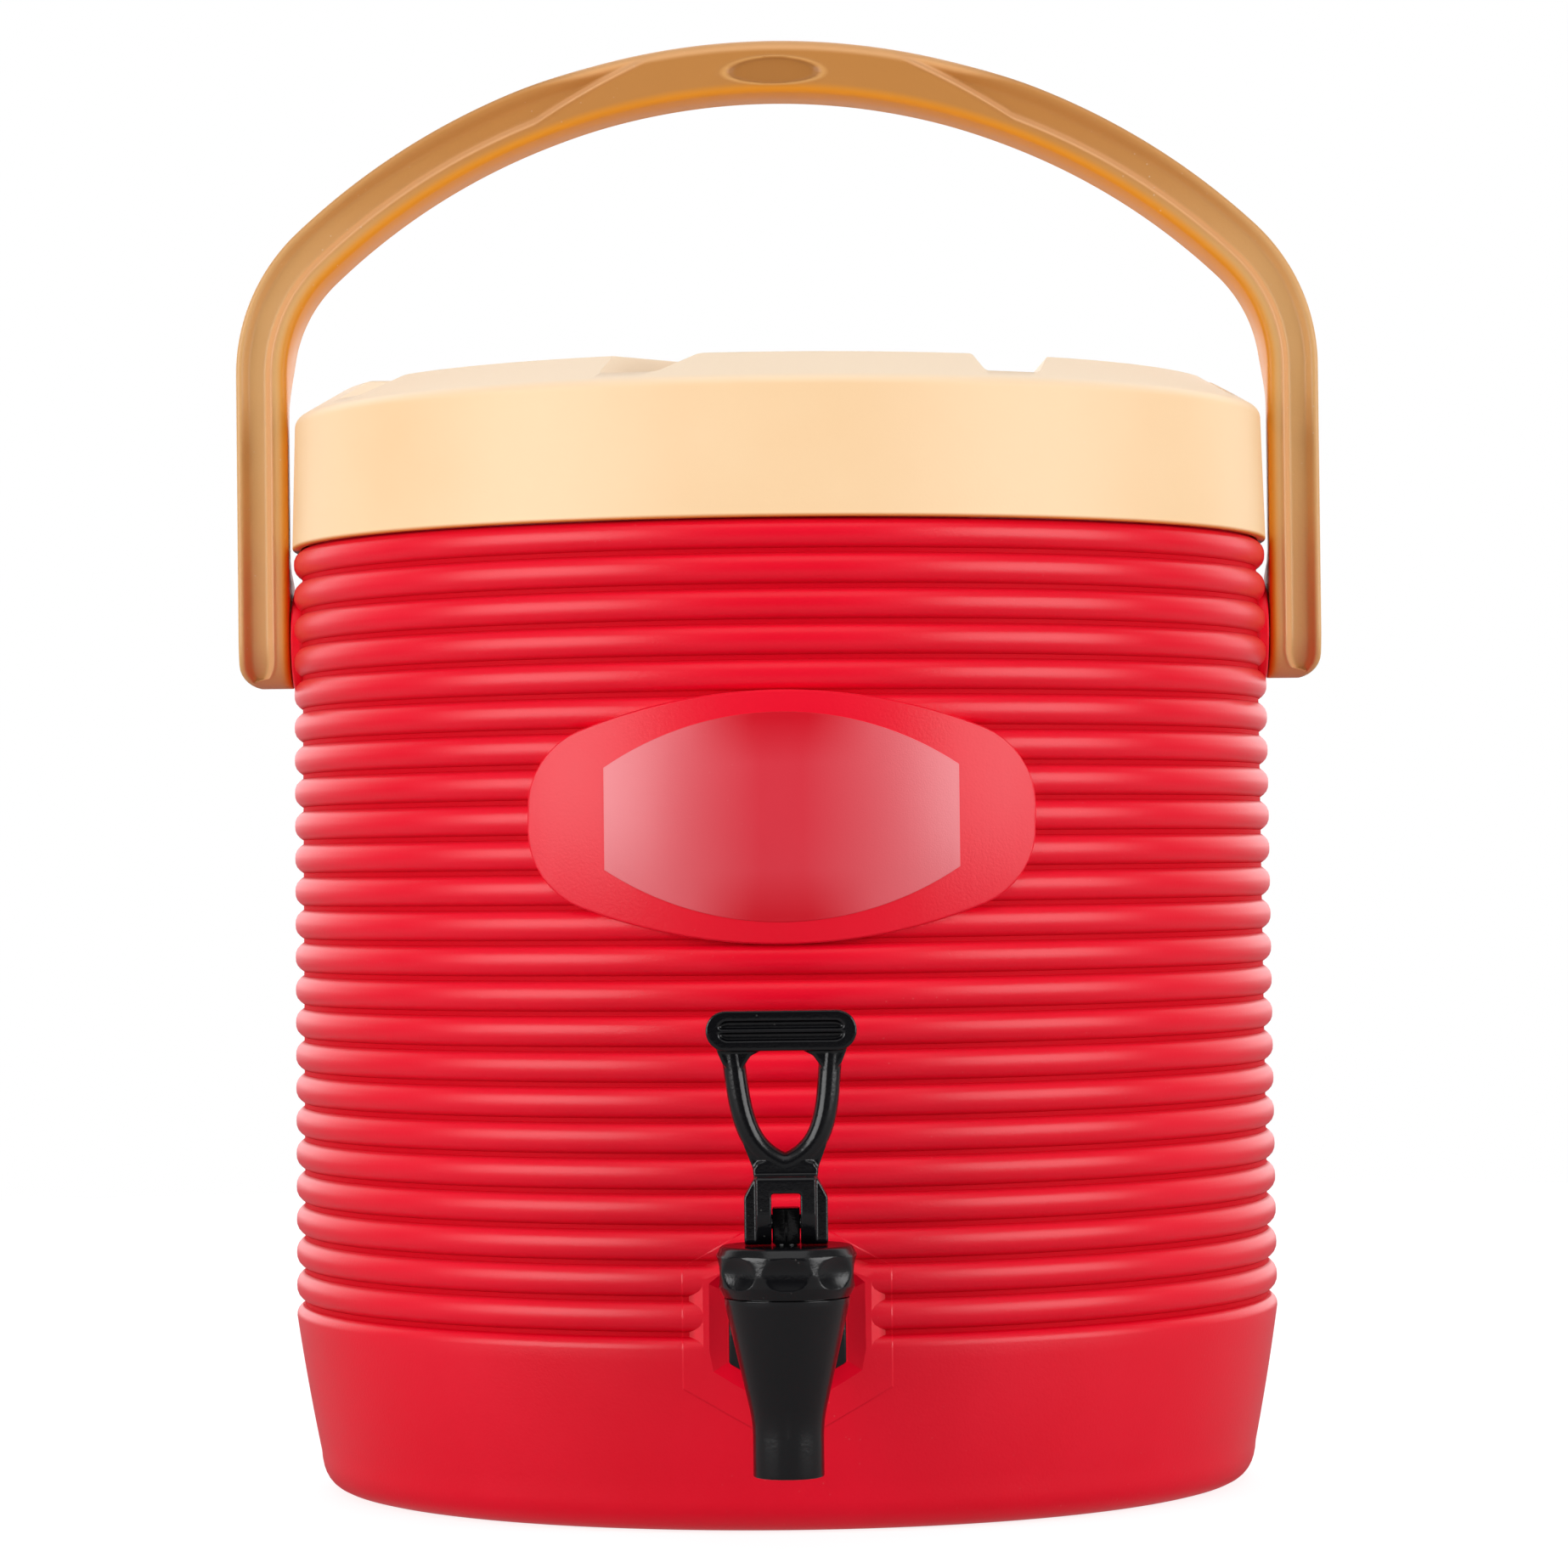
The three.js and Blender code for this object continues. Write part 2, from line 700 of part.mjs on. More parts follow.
function make_lid_shell() {
  const side_top = lid_side_top;
  const top = lid_top;
  const side_radius = lid_radius - lid_draft;
  const skirt_inner = lid_inner_radius;
  const step = skirt_inner - cover_step_width;
  const ceiling = top - channel_depth - lid_top_wall;
  const cap = revolve([
    [0, ceiling],
    [step, ceiling],
    [step, cover_flange_top + seat_gap],
    [skirt_inner, cover_flange_top + seat_gap],
    [skirt_inner, lid_bottom],
    [lid_radius, lid_bottom],
    [side_radius, side_top - lid_corner],
    [side_radius - lid_corner * corner_near_share, side_top - lid_corner * corner_far_share],
    [side_radius - lid_corner, side_top],
    [lid_pad_edge_radius, top],
    [0, top],
  ]);
  const hub_radius = lid_pad_edge_radius * Math.sin(to_radians(channel_turn)) + channel_hub_margin;
  const hub = disc(hub_radius, top - channel_depth, top + cut_overrun);
  const channels = [];
  for (let i = 0; i < channel_count; i += 1) {
    channels.push(lid_channel(channel_first - 90 + i * 360 / channel_count));
  }
  const lug_low = collar_seat + ramp_root_height - running_gap - lug_thickness;
  const lug_inner = collar_neck_radius + running_gap;
  const lugs = thread_slices(lug_inner, skirt_inner + lid_wall / 2, lug_low, lug_thickness, 0, lug_sweep);
  return cap
    .subtract(hub)
    .subtract(union(channels))
    .add(lugs);
}

function make_lid_inner_cover() {
  const flange = lid_radius - lid_wall - seat_gap;
  const floor = cover_flange_bottom - cover_plug_depth;
  return revolve([
    [0, floor],
    [cover_plug_radius - cover_wall, floor],
    [cover_plug_radius, floor + cover_wall],
    [cover_plug_radius, cover_flange_bottom],
    [flange, cover_flange_bottom],
    [flange, cover_flange_top],
    [cover_plug_radius - cover_wall, cover_flange_top],
    [cover_plug_radius - cover_wall, floor + cover_wall],
    [0, floor + cover_wall],
  ]);
}

function make_lid_foam() {
  const low = cover_flange_bottom - cover_plug_depth + cover_wall + seat_gap;
  const ledge = cover_flange_top + seat_gap;
  const high = lid_top - channel_depth - lid_top_wall - seat_gap;
  const narrow = cover_plug_radius - cover_wall - seat_gap;
  const wide = lid_radius - lid_wall - cover_step_width - seat_gap;
  return revolve([[0, low], [narrow, low], [narrow, ledge], [wide, ledge], [wide, high], [0, high]]);
}

function make_lid_gasket() {
  const outer = gasket_inner_radius + gasket_width;
  return ring(gasket_inner_radius, outer, gasket_bottom, gasket_bottom + gasket_thickness);
}

// Half of an arch line: up the leg, round the corner and over to the middle
function arch_line(half_span, radius, corner, foot) {
  const corner_x = half_span - corner;
  const corner_z = arch_centre_height + Math.sqrt((radius - corner) ** 2 - corner_x ** 2);
  const angle = Math.atan2(corner_z - arch_centre_height, corner_x);
  return { half_span, radius, corner, foot, corner_x, corner_z, angle };
}

function draw_arch(shape, line, reverse) {
  const { radius, corner, corner_x, corner_z, angle } = line;
  const left = half_turn - angle;
  if (reverse) {
    shape.absarc(-corner_x, corner_z, corner, half_turn, left, true);
    shape.absarc(0, arch_centre_height, radius, left, angle, true);
    shape.absarc(corner_x, corner_z, corner, angle, 0, true);
  } else {
    shape.absarc(corner_x, corner_z, corner, 0, angle, false);
    shape.absarc(0, arch_centre_height, radius, angle, left, false);
    shape.absarc(-corner_x, corner_z, corner, left, half_turn, false);
  }
}

function handle_outline() {
  const foot = pivot_height - handle_depth / 2;
  const outer = arch_line(handle_outer, arch_radius, arch_corner_radius, foot);
  const inner = arch_line(handle_inner, arch_radius - grip_thickness, arch_inner_corner_radius, foot);
  const round = leg_end_rounding;
  const shape = new THREE.Shape();
  shape.moveTo(handle_inner, foot);
  shape.absarc(handle_outer - round, foot + round, round, -quarter_turn, 0, false);
  draw_arch(shape, outer, false);
  shape.absarc(round - handle_outer, foot + round, round, half_turn, half_turn + quarter_turn, false);
  shape.lineTo(-handle_inner, foot);
  draw_arch(shape, inner, true);
  return shape;
}

// One side's channel between the rim and the lip, closed by a slant at the grip
function channel_outline(side) {
  const rim = arch_line(handle_outer - channel_rim, arch_radius - channel_rim,
    arch_corner_radius - channel_rim, 0);
  const lip = arch_line(handle_inner + channel_lip, arch_radius - grip_thickness + channel_lip,
    arch_inner_corner_radius + channel_lip, 0);
  const foot = pivot_height - handle_depth;
  const top = Math.acos(grip_outer_half / rim.radius);
  const low = Math.acos(grip_inner_half / lip.radius);
  const shape = new THREE.Shape();
  shape.moveTo(lip.half_span, foot);
  shape.lineTo(rim.half_span, foot);
  shape.absarc(rim.corner_x, rim.corner_z, rim.corner, 0, rim.angle, false);
  shape.absarc(0, arch_centre_height, rim.radius, rim.angle, top, false);
  shape.absarc(0, arch_centre_height, lip.radius, low, lip.angle, true);
  shape.absarc(lip.corner_x, lip.corner_z, lip.corner, lip.angle, 0, true);
  const points = shape.getPoints(arc_steps).map((point) => [side * point.x, point.y]);
  return polygon(side > 0 ? points : points.reverse());
}

function make_bail_handle() {
  const half = handle_depth / 2;
  const arch = prism_y(handle_outline(), -half, half, arch_steps);
  const top = arch_centre_height + arch_radius + cut_overrun;
  const side_view = new THREE.Shape();
  side_view.moveTo(half, top);
  side_view.lineTo(-half, top);
  side_view.absarc(0, pivot_height, half, half_turn, full_turn, false);
  const reach = handle_outer + cut_overrun;
  const cuts = [];
  for (const face of [-1, 1]) {
    const from = Math.min(face * (half - channel_recess), face * (half + cut_overrun));
    const to = Math.max(face * (half - channel_recess), face * (half + cut_overrun));
    cuts.push(prism_y(channel_outline(1), from, to));
    cuts.push(prism_y(channel_outline(-1), from, to));
  }
  const oval_height = arch_centre_height + arch_radius - grip_thickness / 2;
  const oval = new THREE.Shape();
  oval.absellipse(0, oval_height, oval_half_width, oval_half_height, 0, full_turn, false, 0);
  cuts.push(prism_y(oval, -half - cut_overrun, oval_recess - half));
  for (const side of [-1, 1]) {
    cuts.push(screw_pillar(side, handle_bore_radius, handle_inner - cut_overrun, reach));
    cuts.push(screw_pillar(side, bush_flange_radius + seat_gap, handle_inner - cut_overrun,
      handle_inner + bush_flange_thickness));
    cuts.push(screw_pillar(side, washer_radius + seat_gap, bore_end, reach));
  }
  return arch.intersect(prism_x(side_view, -reach, reach)).subtract(union(cuts));
}

// Pieces of one pivot, drawn along +Z from the barrel's axis outwards
function make_handle_bush() {
  const flange_low = boss_face + seat_gap;
  const flange_high = handle_inner + bush_flange_thickness - seat_gap;
  const bore = screw_radius + seat_gap;
  return revolve([
    [bore, flange_low],
    [bush_flange_radius, flange_low],
    [bush_flange_radius, flange_high],
    [bush_radius, flange_high],
    [bush_radius, bore_end],
    [bore, bore_end],
  ], small_sides);
}

function make_handle_washer() {
  const low = bore_end + seat_gap;
  return ring(screw_radius + seat_gap, washer_radius, low, low + washer_thickness, small_sides);
}

function make_handle_screw() {
  const head_low = bore_end + washer_thickness + 2 * seat_gap;
  const head_high = head_low + screw_head_thickness;
  const tip = boss_face - pillar_depth + shell_wall + seat_gap;
  return revolve([
    [0, tip],
    [screw_radius, tip],
    [screw_radius, head_low],
    [screw_head_radius, head_low],
    [screw_head_radius, head_high - screw_head_thickness / 2],
    [socket_radius * 2, head_high],
    [socket_radius, head_high],
    [socket_radius, head_high - socket_depth],
    [0, head_high - socket_depth],
  ], small_sides);
}

function make_pivot(side, name) {
  const pivot = new THREE.Group();
  pivot.position.set(0, 0, pivot_height);
  pivot.rotation.set(0, side * quarter_turn, 0);
  pivot.add(piece(`handle_bush_${name}`, make_handle_bush(), white_plastic));
  pivot.add(piece(`handle_washer_${name}`, make_handle_washer(), steel));
  pivot.add(piece(`handle_screw_${name}`, make_handle_screw(), steel));
  return pivot;
}

// Tap pieces are drawn about the tap's own upright axis, with heights from the ground
function make_tap_body() {
  const straight_top = spout_bottom + spout_straight;
  const body = revolve([
    [0, spout_bottom],
    [spout_radius, spout_bottom],
    [spout_radius, straight_top],
    [cone_radius, cone_top],
    [neck_radius, cone_top],
    [neck_radius, cone_top + neck_height],
    [0, cone_top + neck_height],
  ], round_sides);
  const hollow = revolve([
    [0, spout_bottom - cut_overrun],
    [spout_bore_radius, spout_bottom - cut_overrun],
    [spout_bore_radius, chamber_floor - throat_length * 2],
    [throat_radius, chamber_floor - throat_length],
    [throat_radius, chamber_floor],
    [chamber_radius, chamber_floor],
    [chamber_radius, cone_top + neck_height + cut_overrun],
    [0, cone_top + neck_height + cut_overrun],
  ], round_sides);
  const shank = round_y(shank_radius, 0, shank_length, shank_height);
  const bore = round_y(shank_bore_radius, 0, shank_length + cut_overrun, shank_height, small_sides);
  return body.add(shank).subtract(hollow).subtract(bore);
}

function make_tap_bonnet() {
  const low = cone_top + seat_gap;
  const ceiling = bonnet_top - bonnet_roof;
  const cap = revolve([
    [stem_radius + seat_gap, ceiling],
    [neck_radius + seat_gap, ceiling],
    [neck_radius + seat_gap, low],
    [bonnet_radius - bonnet_edge / 2, low],
    [bonnet_radius, low + bonnet_edge],
    [bonnet_radius, bonnet_top - bonnet_edge],
    [bonnet_radius - bonnet_edge, bonnet_top],
    [stem_radius + seat_gap, bonnet_top],
  ], round_sides);
  const mid = (low + bonnet_top) / 2;
  const scallops = [];
  for (let i = 0; i < scallop_count; i += 1) {
    const dent = new THREE.SphereGeometry(1, scallop_sides, arc_steps);
    dent.rotateX(quarter_turn).scale(scallop_half_width, scallop_depth, scallop_half_height);
    dent.translate(0, -bonnet_radius, mid).rotateZ(i * full_turn / scallop_count);
    scallops.push(solid_of(dent));
  }
  return cap.subtract(union(scallops));
}

function make_tap_stem() {
  const foot = chamber_floor + seat_gap + cup_height - stem_entry;
  const head = block(stem_head_width, stem_head_depth, stem_cap, stem_head_top);
  const rod = disc(stem_radius, foot, stem_cap + stem_radius, small_sides);
  const pin_bore = round_x(pin_radius + seat_gap, -stem_head_width, stem_head_width, pin_height,
    small_sides);
  return head.add(rod).subtract(pin_bore);
}

function make_seat_cup() {
  const low = chamber_floor + seat_gap;
  const high = low + cup_height;
  const socket_floor = high - stem_entry - seat_gap;
  return revolve([
    [0, low],
    [cup_radius - cup_nose, low],
    [cup_radius, low + cup_nose],
    [cup_radius, high - cup_nose],
    [cup_radius - cup_nose / 2, high],
    [stem_radius + seat_gap, high],
    [stem_radius + seat_gap, socket_floor],
    [0, socket_floor],
  ], round_sides);
}

// Wire centre line of the closing spring, one helix from the cup to the bonnet
class SpringLine extends THREE.Curve {
  getPoint(share, target = new THREE.Vector3()) {
    const low = chamber_floor + cup_height + 2 * seat_gap + spring_wire_radius;
    const high = bonnet_top - bonnet_roof - seat_gap - spring_wire_radius;
    const angle = share * spring_turns * full_turn;
    return target.set(spring_radius * Math.cos(angle), spring_radius * Math.sin(angle),
      low + share * (high - low));
  }
}

function make_tap_spring() {
  const section = circle(spring_wire_radius);
  const wire = new THREE.ExtrudeGeometry(section, {
    steps: spring_turns * spring_steps_per_turn,
    curveSegments: spring_wire_sides,
    extrudePath: new SpringLine(),
  });
  return solid_of(wire);
}

// Distance from the pin to the clevis's front, where the cam ends at a quarter turn
function cam_front() {
  return pin_height - stem_cap + stem_lift / to_radians(lever_tilt) * quarter_turn;
}

// Cam outline of the lever's feet, worked out from how far its flat support must be
// from the pin at each angle of tilt, then up the front and down the back
function cam_outline() {
  const rise = stem_lift / to_radians(lever_tilt);
  const rest = pin_height - stem_cap;
  const points = [];
  for (let i = 0; i <= cam_steps; i += 1) {
    const tilt = quarter_turn * i / cam_steps;
    const reach = rest + rise * tilt;
    points.push([
      -reach * Math.sin(tilt) - rise * Math.cos(tilt),
      pin_height - reach * Math.cos(tilt) + rise * Math.sin(tilt),
    ]);
  }
  points.push([-cam_front(), lever_block_top]);
  points.push([lever_block_rear, lever_block_top]);
  points.push([lever_block_rear, stem_cap]);
  return polygon(points.reverse());
}

function rounded_bar(half_width, low, high, rounding) {
  const shape = new THREE.Shape();
  shape.absarc(half_width - rounding, low + rounding, rounding, -quarter_turn, 0, false);
  shape.absarc(half_width - rounding, high - rounding, rounding, 0, quarter_turn, false);
  shape.absarc(rounding - half_width, high - rounding, rounding, quarter_turn, half_turn, false);
  shape.absarc(rounding - half_width, low + rounding, rounding, half_turn, half_turn + quarter_turn, false);
  return shape;
}

// The lever's loop: sides that draw in and round off towards the neck
function loop_outline() {
  const neck = lever_block_top - bar_rounding;
  const height = loop_top - neck;
  const bend = loop_top_half * loop_bend_share;
  const shape = new THREE.Shape();
  shape.moveTo(-loop_foot_half, neck);
  shape.lineTo(loop_foot_half, neck);
  const root = loop_top + bar_root + bar_height / 2;
  shape.bezierCurveTo(loop_foot_half, neck + height * loop_low_share, bend,
    neck + height * loop_high_share, loop_top_half, root);
  shape.lineTo(-loop_top_half, root);
  shape.bezierCurveTo(-bend, neck + height * loop_high_share, -loop_foot_half,
    neck + height * loop_low_share, -loop_foot_half, neck);
  return shape;
}

function loop_hole_outline() {
  const corner = loop_hole_corner;
  const height = loop_top - loop_hole_floor;
  const side_low = loop_hole_floor + height * hole_low_share;
  const shape = new THREE.Shape();
  shape.moveTo(0, loop_hole_floor);
  shape.quadraticCurveTo(loop_hole_half * hole_foot_share, loop_hole_floor,
    loop_hole_half * hole_side_share, side_low);
  shape.lineTo(loop_hole_half, loop_top - corner);
  shape.quadraticCurveTo(loop_hole_half, loop_top, loop_hole_half - corner, loop_top);
  shape.lineTo(corner - loop_hole_half, loop_top);
  shape.quadraticCurveTo(-loop_hole_half, loop_top, -loop_hole_half, loop_top - corner);
  shape.lineTo(-loop_hole_half * hole_side_share, side_low);
  shape.quadraticCurveTo(-loop_hole_half * hole_foot_share, loop_hole_floor, 0, loop_hole_floor);
  return shape;
}

function make_tap_lever() {
  const half_block = lever_block_width / 2;
  const half_loop = loop_thickness / 2;
  const half_bar = bar_thickness / 2;
  const bar_low = loop_top + bar_root;
  const bar_mid = bar_low + bar_height / 2;
  const bar_line = rounded_bar(bar_half_width, bar_low, bar_low + bar_height, bar_rounding);
  const bar = prism_y(bar_line, -half_bar, half_bar);
  const loop = prism_y(loop_outline(), -half_loop, half_loop);
  const cam = prism_x(cam_outline(), -half_block, half_block);
  const half_front = lever_front_width / 2;
  const front_view = polygon([
    [-half_block, stem_cap], [half_block, stem_cap],
    [half_block, lever_block_top - cheek_drop], [half_front, lever_block_top],
    [-half_front, lever_block_top], [-half_block, lever_block_top - cheek_drop],
  ]);
  const shoulders = prism_y(front_view, -lever_block_width, lever_block_width);
  const notch_back = lever_front_depth - cam_front();
  const notches = block(lever_block_width + cut_overrun, lever_block_width, stem_cap, lever_block_top)
    .subtract(block(lever_front_width, lever_block_width, stem_cap, lever_block_top))
    .translate([0, notch_back - lever_block_width / 2, 0]);
  const hole = prism_y(loop_hole_outline(), -half_bar - cut_overrun, half_bar + cut_overrun);
  const groove_low = bar_mid - bar_groove_height / 2;
  const groove_line = rounded_bar(bar_groove_half, groove_low, groove_low + bar_groove_height,
    bar_groove_height * groove_end_share);
  const ridge = block(bar_groove_half * 2, bar_thickness * 2, bar_mid - bar_ridge_height / 2,
    bar_mid + bar_ridge_height / 2);
  const groove = prism_y(groove_line, -half_bar - cut_overrun, bar_groove_depth - half_bar).subtract(ridge);
  const slot = block(stem_head_width + running_gap, lever_block_width + stem_head_depth * 2,
    stem_cap - cut_overrun, lever_slot_top);
  const pin_bore = round_x(pin_radius + seat_gap, -lever_block_width, lever_block_width, pin_height,
    small_sides);
  const clevis = cam.intersect(shoulders).subtract(notches);
  return bar.add(loop).add(clevis).subtract(hole).subtract(groove).subtract(slot).subtract(pin_bore);
}

function make_lever_pin() {
  const half = lever_block_width / 2 - seat_gap;
  return round_x(pin_radius, -half, half, pin_height, small_sides);
}

// Ring pieces on the shank, at distances from the tap's axis
function shank_ring(shape, near, far) {
  const bore = round_y(shank_radius + seat_gap, near - cut_overrun, far + cut_overrun, shank_height);
  return prism_y(shape, near, far).subtract(bore);
}

function make_tap_outer_gasket() {
  const far = tap_reach - pocket_floor - seat_gap;
  const face = new THREE.Shape().absarc(0, shank_height, outer_gasket_radius, 0, full_turn, false);
  return shank_ring(face, far - outer_gasket_thickness, far);
}

function make_tap_outer_nut() {
  const near = tap_reach - nut_front;
  return shank_ring(hexagon(nut_across, shank_height), near, near + nut_thickness);
}

function make_tap_inner_gasket() {
  const far = tap_reach - liner_radius + inner_gasket_thickness;
  const face = new THREE.Shape().absarc(0, shank_height, inner_gasket_radius, 0, full_turn, false);
  const blank = shank_ring(face, far - inner_gasket_thickness * 2, far);
  const room = disc(liner_radius - seat_gap, 0, liner_top);
  return blank.intersect(room.translate([0, tap_reach, 0]));
}

function make_tap_locknut() {
  const near = tap_reach - liner_radius + inner_gasket_thickness + seat_gap;
  return shank_ring(hexagon(locknut_across, shank_height), near, near + locknut_thickness);
}

const barrel = new THREE.Group();
barrel.add(piece('outer_shell', make_outer_shell(), red_plastic));
barrel.add(piece('front_label', make_front_label(), label_film));
barrel.add(piece('base_cover', make_base_cover(), red_plastic));
barrel.add(piece('rim_collar', make_rim_collar(), red_plastic));
barrel.add(piece('inner_liner', make_inner_liner(), steel));
barrel.add(piece('foam_jacket', make_foam_jacket(), foam));

const lid = new THREE.Group();
lid.add(piece('lid_shell', make_lid_shell(), cream_plastic));
lid.add(piece('lid_inner_cover', make_lid_inner_cover(), white_plastic));
lid.add(piece('lid_foam', make_lid_foam(), foam));
lid.add(piece('lid_gasket', make_lid_gasket(), silicone));

const handle = new THREE.Group();
handle.add(piece('bail_handle', make_bail_handle(), tan_plastic));
handle.add(make_pivot(-1, 'left'));
handle.add(make_pivot(1, 'right'));

const tap = new THREE.Group();
tap.position.set(0, -tap_reach, 0);
tap.add(piece('tap_body', make_tap_body(), black_plastic));
tap.add(piece('tap_bonnet', make_tap_bonnet(), black_plastic));
tap.add(piece('tap_stem', make_tap_stem(), black_plastic));
tap.add(piece('seat_cup', make_seat_cup(), silicone));
tap.add(piece('tap_spring', make_tap_spring(), steel));
tap.add(piece('tap_lever', make_tap_lever(), black_plastic));
tap.add(piece('lever_pin', make_lever_pin(), steel));
tap.add(piece('tap_outer_gasket', make_tap_outer_gasket(), black_plastic));
tap.add(piece('tap_outer_nut', make_tap_outer_nut(), black_plastic));
tap.add(piece('tap_inner_gasket', make_tap_inner_gasket(), silicone));
tap.add(piece('tap_locknut', make_tap_locknut(), black_plastic));

const dispenser = new THREE.Group();
dispenser.add(barrel, lid, handle, tap);

export default dispenser;
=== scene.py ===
# Insulated drink barrel: ribbed red shell, cream screw lid, tan bail and black lever tap.
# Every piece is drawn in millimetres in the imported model's frame and turned to metres
# when it is finished.

from math import acos, asin, atan2, copysign, cos, dist, exp, hypot, pi, radians, sin, sqrt, tan, tau

import bmesh
import bpy
from mathutils import Matrix, Vector


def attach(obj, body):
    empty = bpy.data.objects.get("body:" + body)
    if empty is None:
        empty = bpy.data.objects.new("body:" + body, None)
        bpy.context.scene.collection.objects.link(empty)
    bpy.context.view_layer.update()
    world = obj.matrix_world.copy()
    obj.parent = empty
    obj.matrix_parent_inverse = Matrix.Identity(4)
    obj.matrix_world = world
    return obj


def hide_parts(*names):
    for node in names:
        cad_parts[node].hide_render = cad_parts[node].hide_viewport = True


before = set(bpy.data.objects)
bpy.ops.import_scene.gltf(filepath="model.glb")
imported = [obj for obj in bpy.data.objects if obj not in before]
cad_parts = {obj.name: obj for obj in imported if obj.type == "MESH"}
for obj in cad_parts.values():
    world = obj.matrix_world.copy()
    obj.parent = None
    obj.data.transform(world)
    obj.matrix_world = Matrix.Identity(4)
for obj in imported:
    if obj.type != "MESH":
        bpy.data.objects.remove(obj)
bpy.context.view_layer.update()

MM = 0.001

# Sizes shared by several pieces, in millimetres
BARREL_SEGMENTS = 192
BARREL_RADIUS = 150.2
BARREL_FLARE = 1.1
SKIRT_LOW_RADIUS = 144.2
SKIRT_CREST = 52.6
FOOT_RADIUS = 135.2
RIB_START = 56.8
RIB_COUNT = 23
RIB_PITCH = 10.07
RIB_DEPTH = 2.6
RIB_FULLNESS = 2.8
GROOVE_HALF = 0.6
SHELL_TOP = 287.41
BARREL_WIDEST = BARREL_RADIUS + BARREL_FLARE
RIBBED_HEIGHT = SHELL_TOP - RIB_START
PIVOT_HEIGHT = 260.0
TAP_REACH = 185.0
SHANK_HEIGHT = 58.6
PAD_RADIUS = 151.75
PAD_CENTRE = 202.8
LID_BOTTOM = 287.7
LID_SIDE_TOP = 327.41
LID_TOP = 336.01
LID_LEDGE = 311.2
LID_RADIUS = 150.6
HANDLE_INNER = 151.2
HANDLE_OUTER = 166.9
HANDLE_HALF_DEPTH = 14.5
SCREW_SINK = 5.0
ARCH_CENTRE = 227.7
HANDLE_FOOT = PIVOT_HEIGHT - HANDLE_HALF_DEPTH
OUTER_ARCH = {"half": HANDLE_OUTER, "radius": 216.4, "corner": 60.0}
INNER_ARCH = {"half": HANDLE_INNER, "radius": 200.0, "corner": 42.7}
GRIP_RADIUS = (OUTER_ARCH["radius"] + INNER_ARCH["radius"]) / 2
GRIP_BASE = 380.0
OVAL_HALF_LENGTH = 15.0
OVAL_HALF_HEIGHT = 4.2
OVAL_BELOW_MIDDLE = 1.5
CHANNEL_WALL = 2.2
OUTER_WALL = 2.6
OUTER_RIM = 1.9
LIP_EASE = 0.3
PIN_HEIGHT = 91.0
STEM_CAP = 84.9

# The hexagons round the tap: a factor for their slanted sides, the half width within which faces
# are the pocket's, and the one beyond which they may be a groove's
HEXAGON_SLANT = sqrt(0.75)
POCKET_HALF_ACROSS = 24.4
GROOVES_HALF_ACROSS = 24.7

# Depths and places that the finishes use, in metres, and the single tints of the painted shade in the
# grooves and on the label film
GROOVE_STARTS, GROOVE_FLOOR = 0.1490, 0.1478
INSERT_HALF_ACROSS, INSERT_STEP = 0.0296, 0.00018
FRAME_HALF_ACROSS = 0.0249
PAINTED_GROOVE_SHADE = (0.62, 0.0, 0.01)
FILM_PAINTED_SHADE_TINT = (0.64, 0.0, 0.012)

# Studio: name, azimuth and elevation in degrees, distance, width and height in metres, power in watts
SOFTBOXES = (
    ("left softbox", -54.0, 9.0, 1.7, 1.3, 1.25, 23.5),
    ("right softbox", 58.0, 9.0, 1.7, 1.3, 1.25, 22.5),
    ("overhead softbox", 0.0, 58.0, 2.4, 2.6, 1.6, 11.0),
)
WORLD_FRONT = 0.04
WORLD_BACK = 1.8
WORLD_ABOVE = 0.25

# Camera, as solved from the photo: its focal length and the photo's width in pixels
FOCAL_PIXELS = 6255
PHOTO_PIXELS = 1846


# ---- finishes

def link(tree, source, target):
    tree.links.new(source, target)


def feed(tree, target, value):
    """Sets an input to a number or a tint, or links it to another node."""
    if isinstance(value, (int, float)):
        target.default_value = value
    elif isinstance(value, tuple):
        target.default_value = (*value, 1.0)
    else:
        link(tree, value, target)


def maths(tree, operation, *values):
    node = tree.nodes.new("ShaderNodeMath")
    node.operation = operation
    for target, value in zip(node.inputs, values):
        feed(tree, target, value)
    return node.outputs[0]


def product(tree, first, *others):
    for value in others:
        first = maths(tree, "MULTIPLY", first, value)
    return first


def fed_node(tree, kind, **inputs):
    """A new shader node with its inputs fed. An underscore stands for a space in an input's name."""
    node = tree.nodes.new("ShaderNode" + kind)
    for name, value in inputs.items():
        feed(tree, node.inputs[name.replace("_", " ")], value)
    return node


def noise(tree, place, scale, detail, roughness):
    return fed_node(tree, "TexNoise", Vector=place, Scale=scale, Detail=detail,
                    Roughness=roughness).outputs["Fac"]


def ranged(tree, value, low, high, new_low=0.0, new_high=1.0, smooth=False):
    """A value carried from one range to another and held at its ends."""
    node = fed_node(tree, "MapRange", Value=value, From_Min=low, From_Max=high, To_Min=new_low,
                    To_Max=new_high)
    if smooth:
        node.interpolation_type = "SMOOTHSTEP"
    return node.outputs["Result"]


def mixed(tree, factor, first, second):
    node = tree.nodes.new("ShaderNodeMix")
    node.data_type = "RGBA"
    link(tree, factor, node.inputs["Factor"])
    for name, colour in (("A", first), ("B", second)):
        feed(tree, next(s for s in node.inputs if s.name == name and s.type == "RGBA"), colour)
    return next(s for s in node.outputs if s.type == "RGBA")


def bumped(tree, height, depth, normal=None):
    """A bump of a depth in metres, laid over another one where a normal is given."""
    node = fed_node(tree, "Bump", Strength=1.0, Distance=depth, Height=height)
    if normal:
        link(tree, normal, node.inputs["Normal"])
    return node.outputs["Normal"]


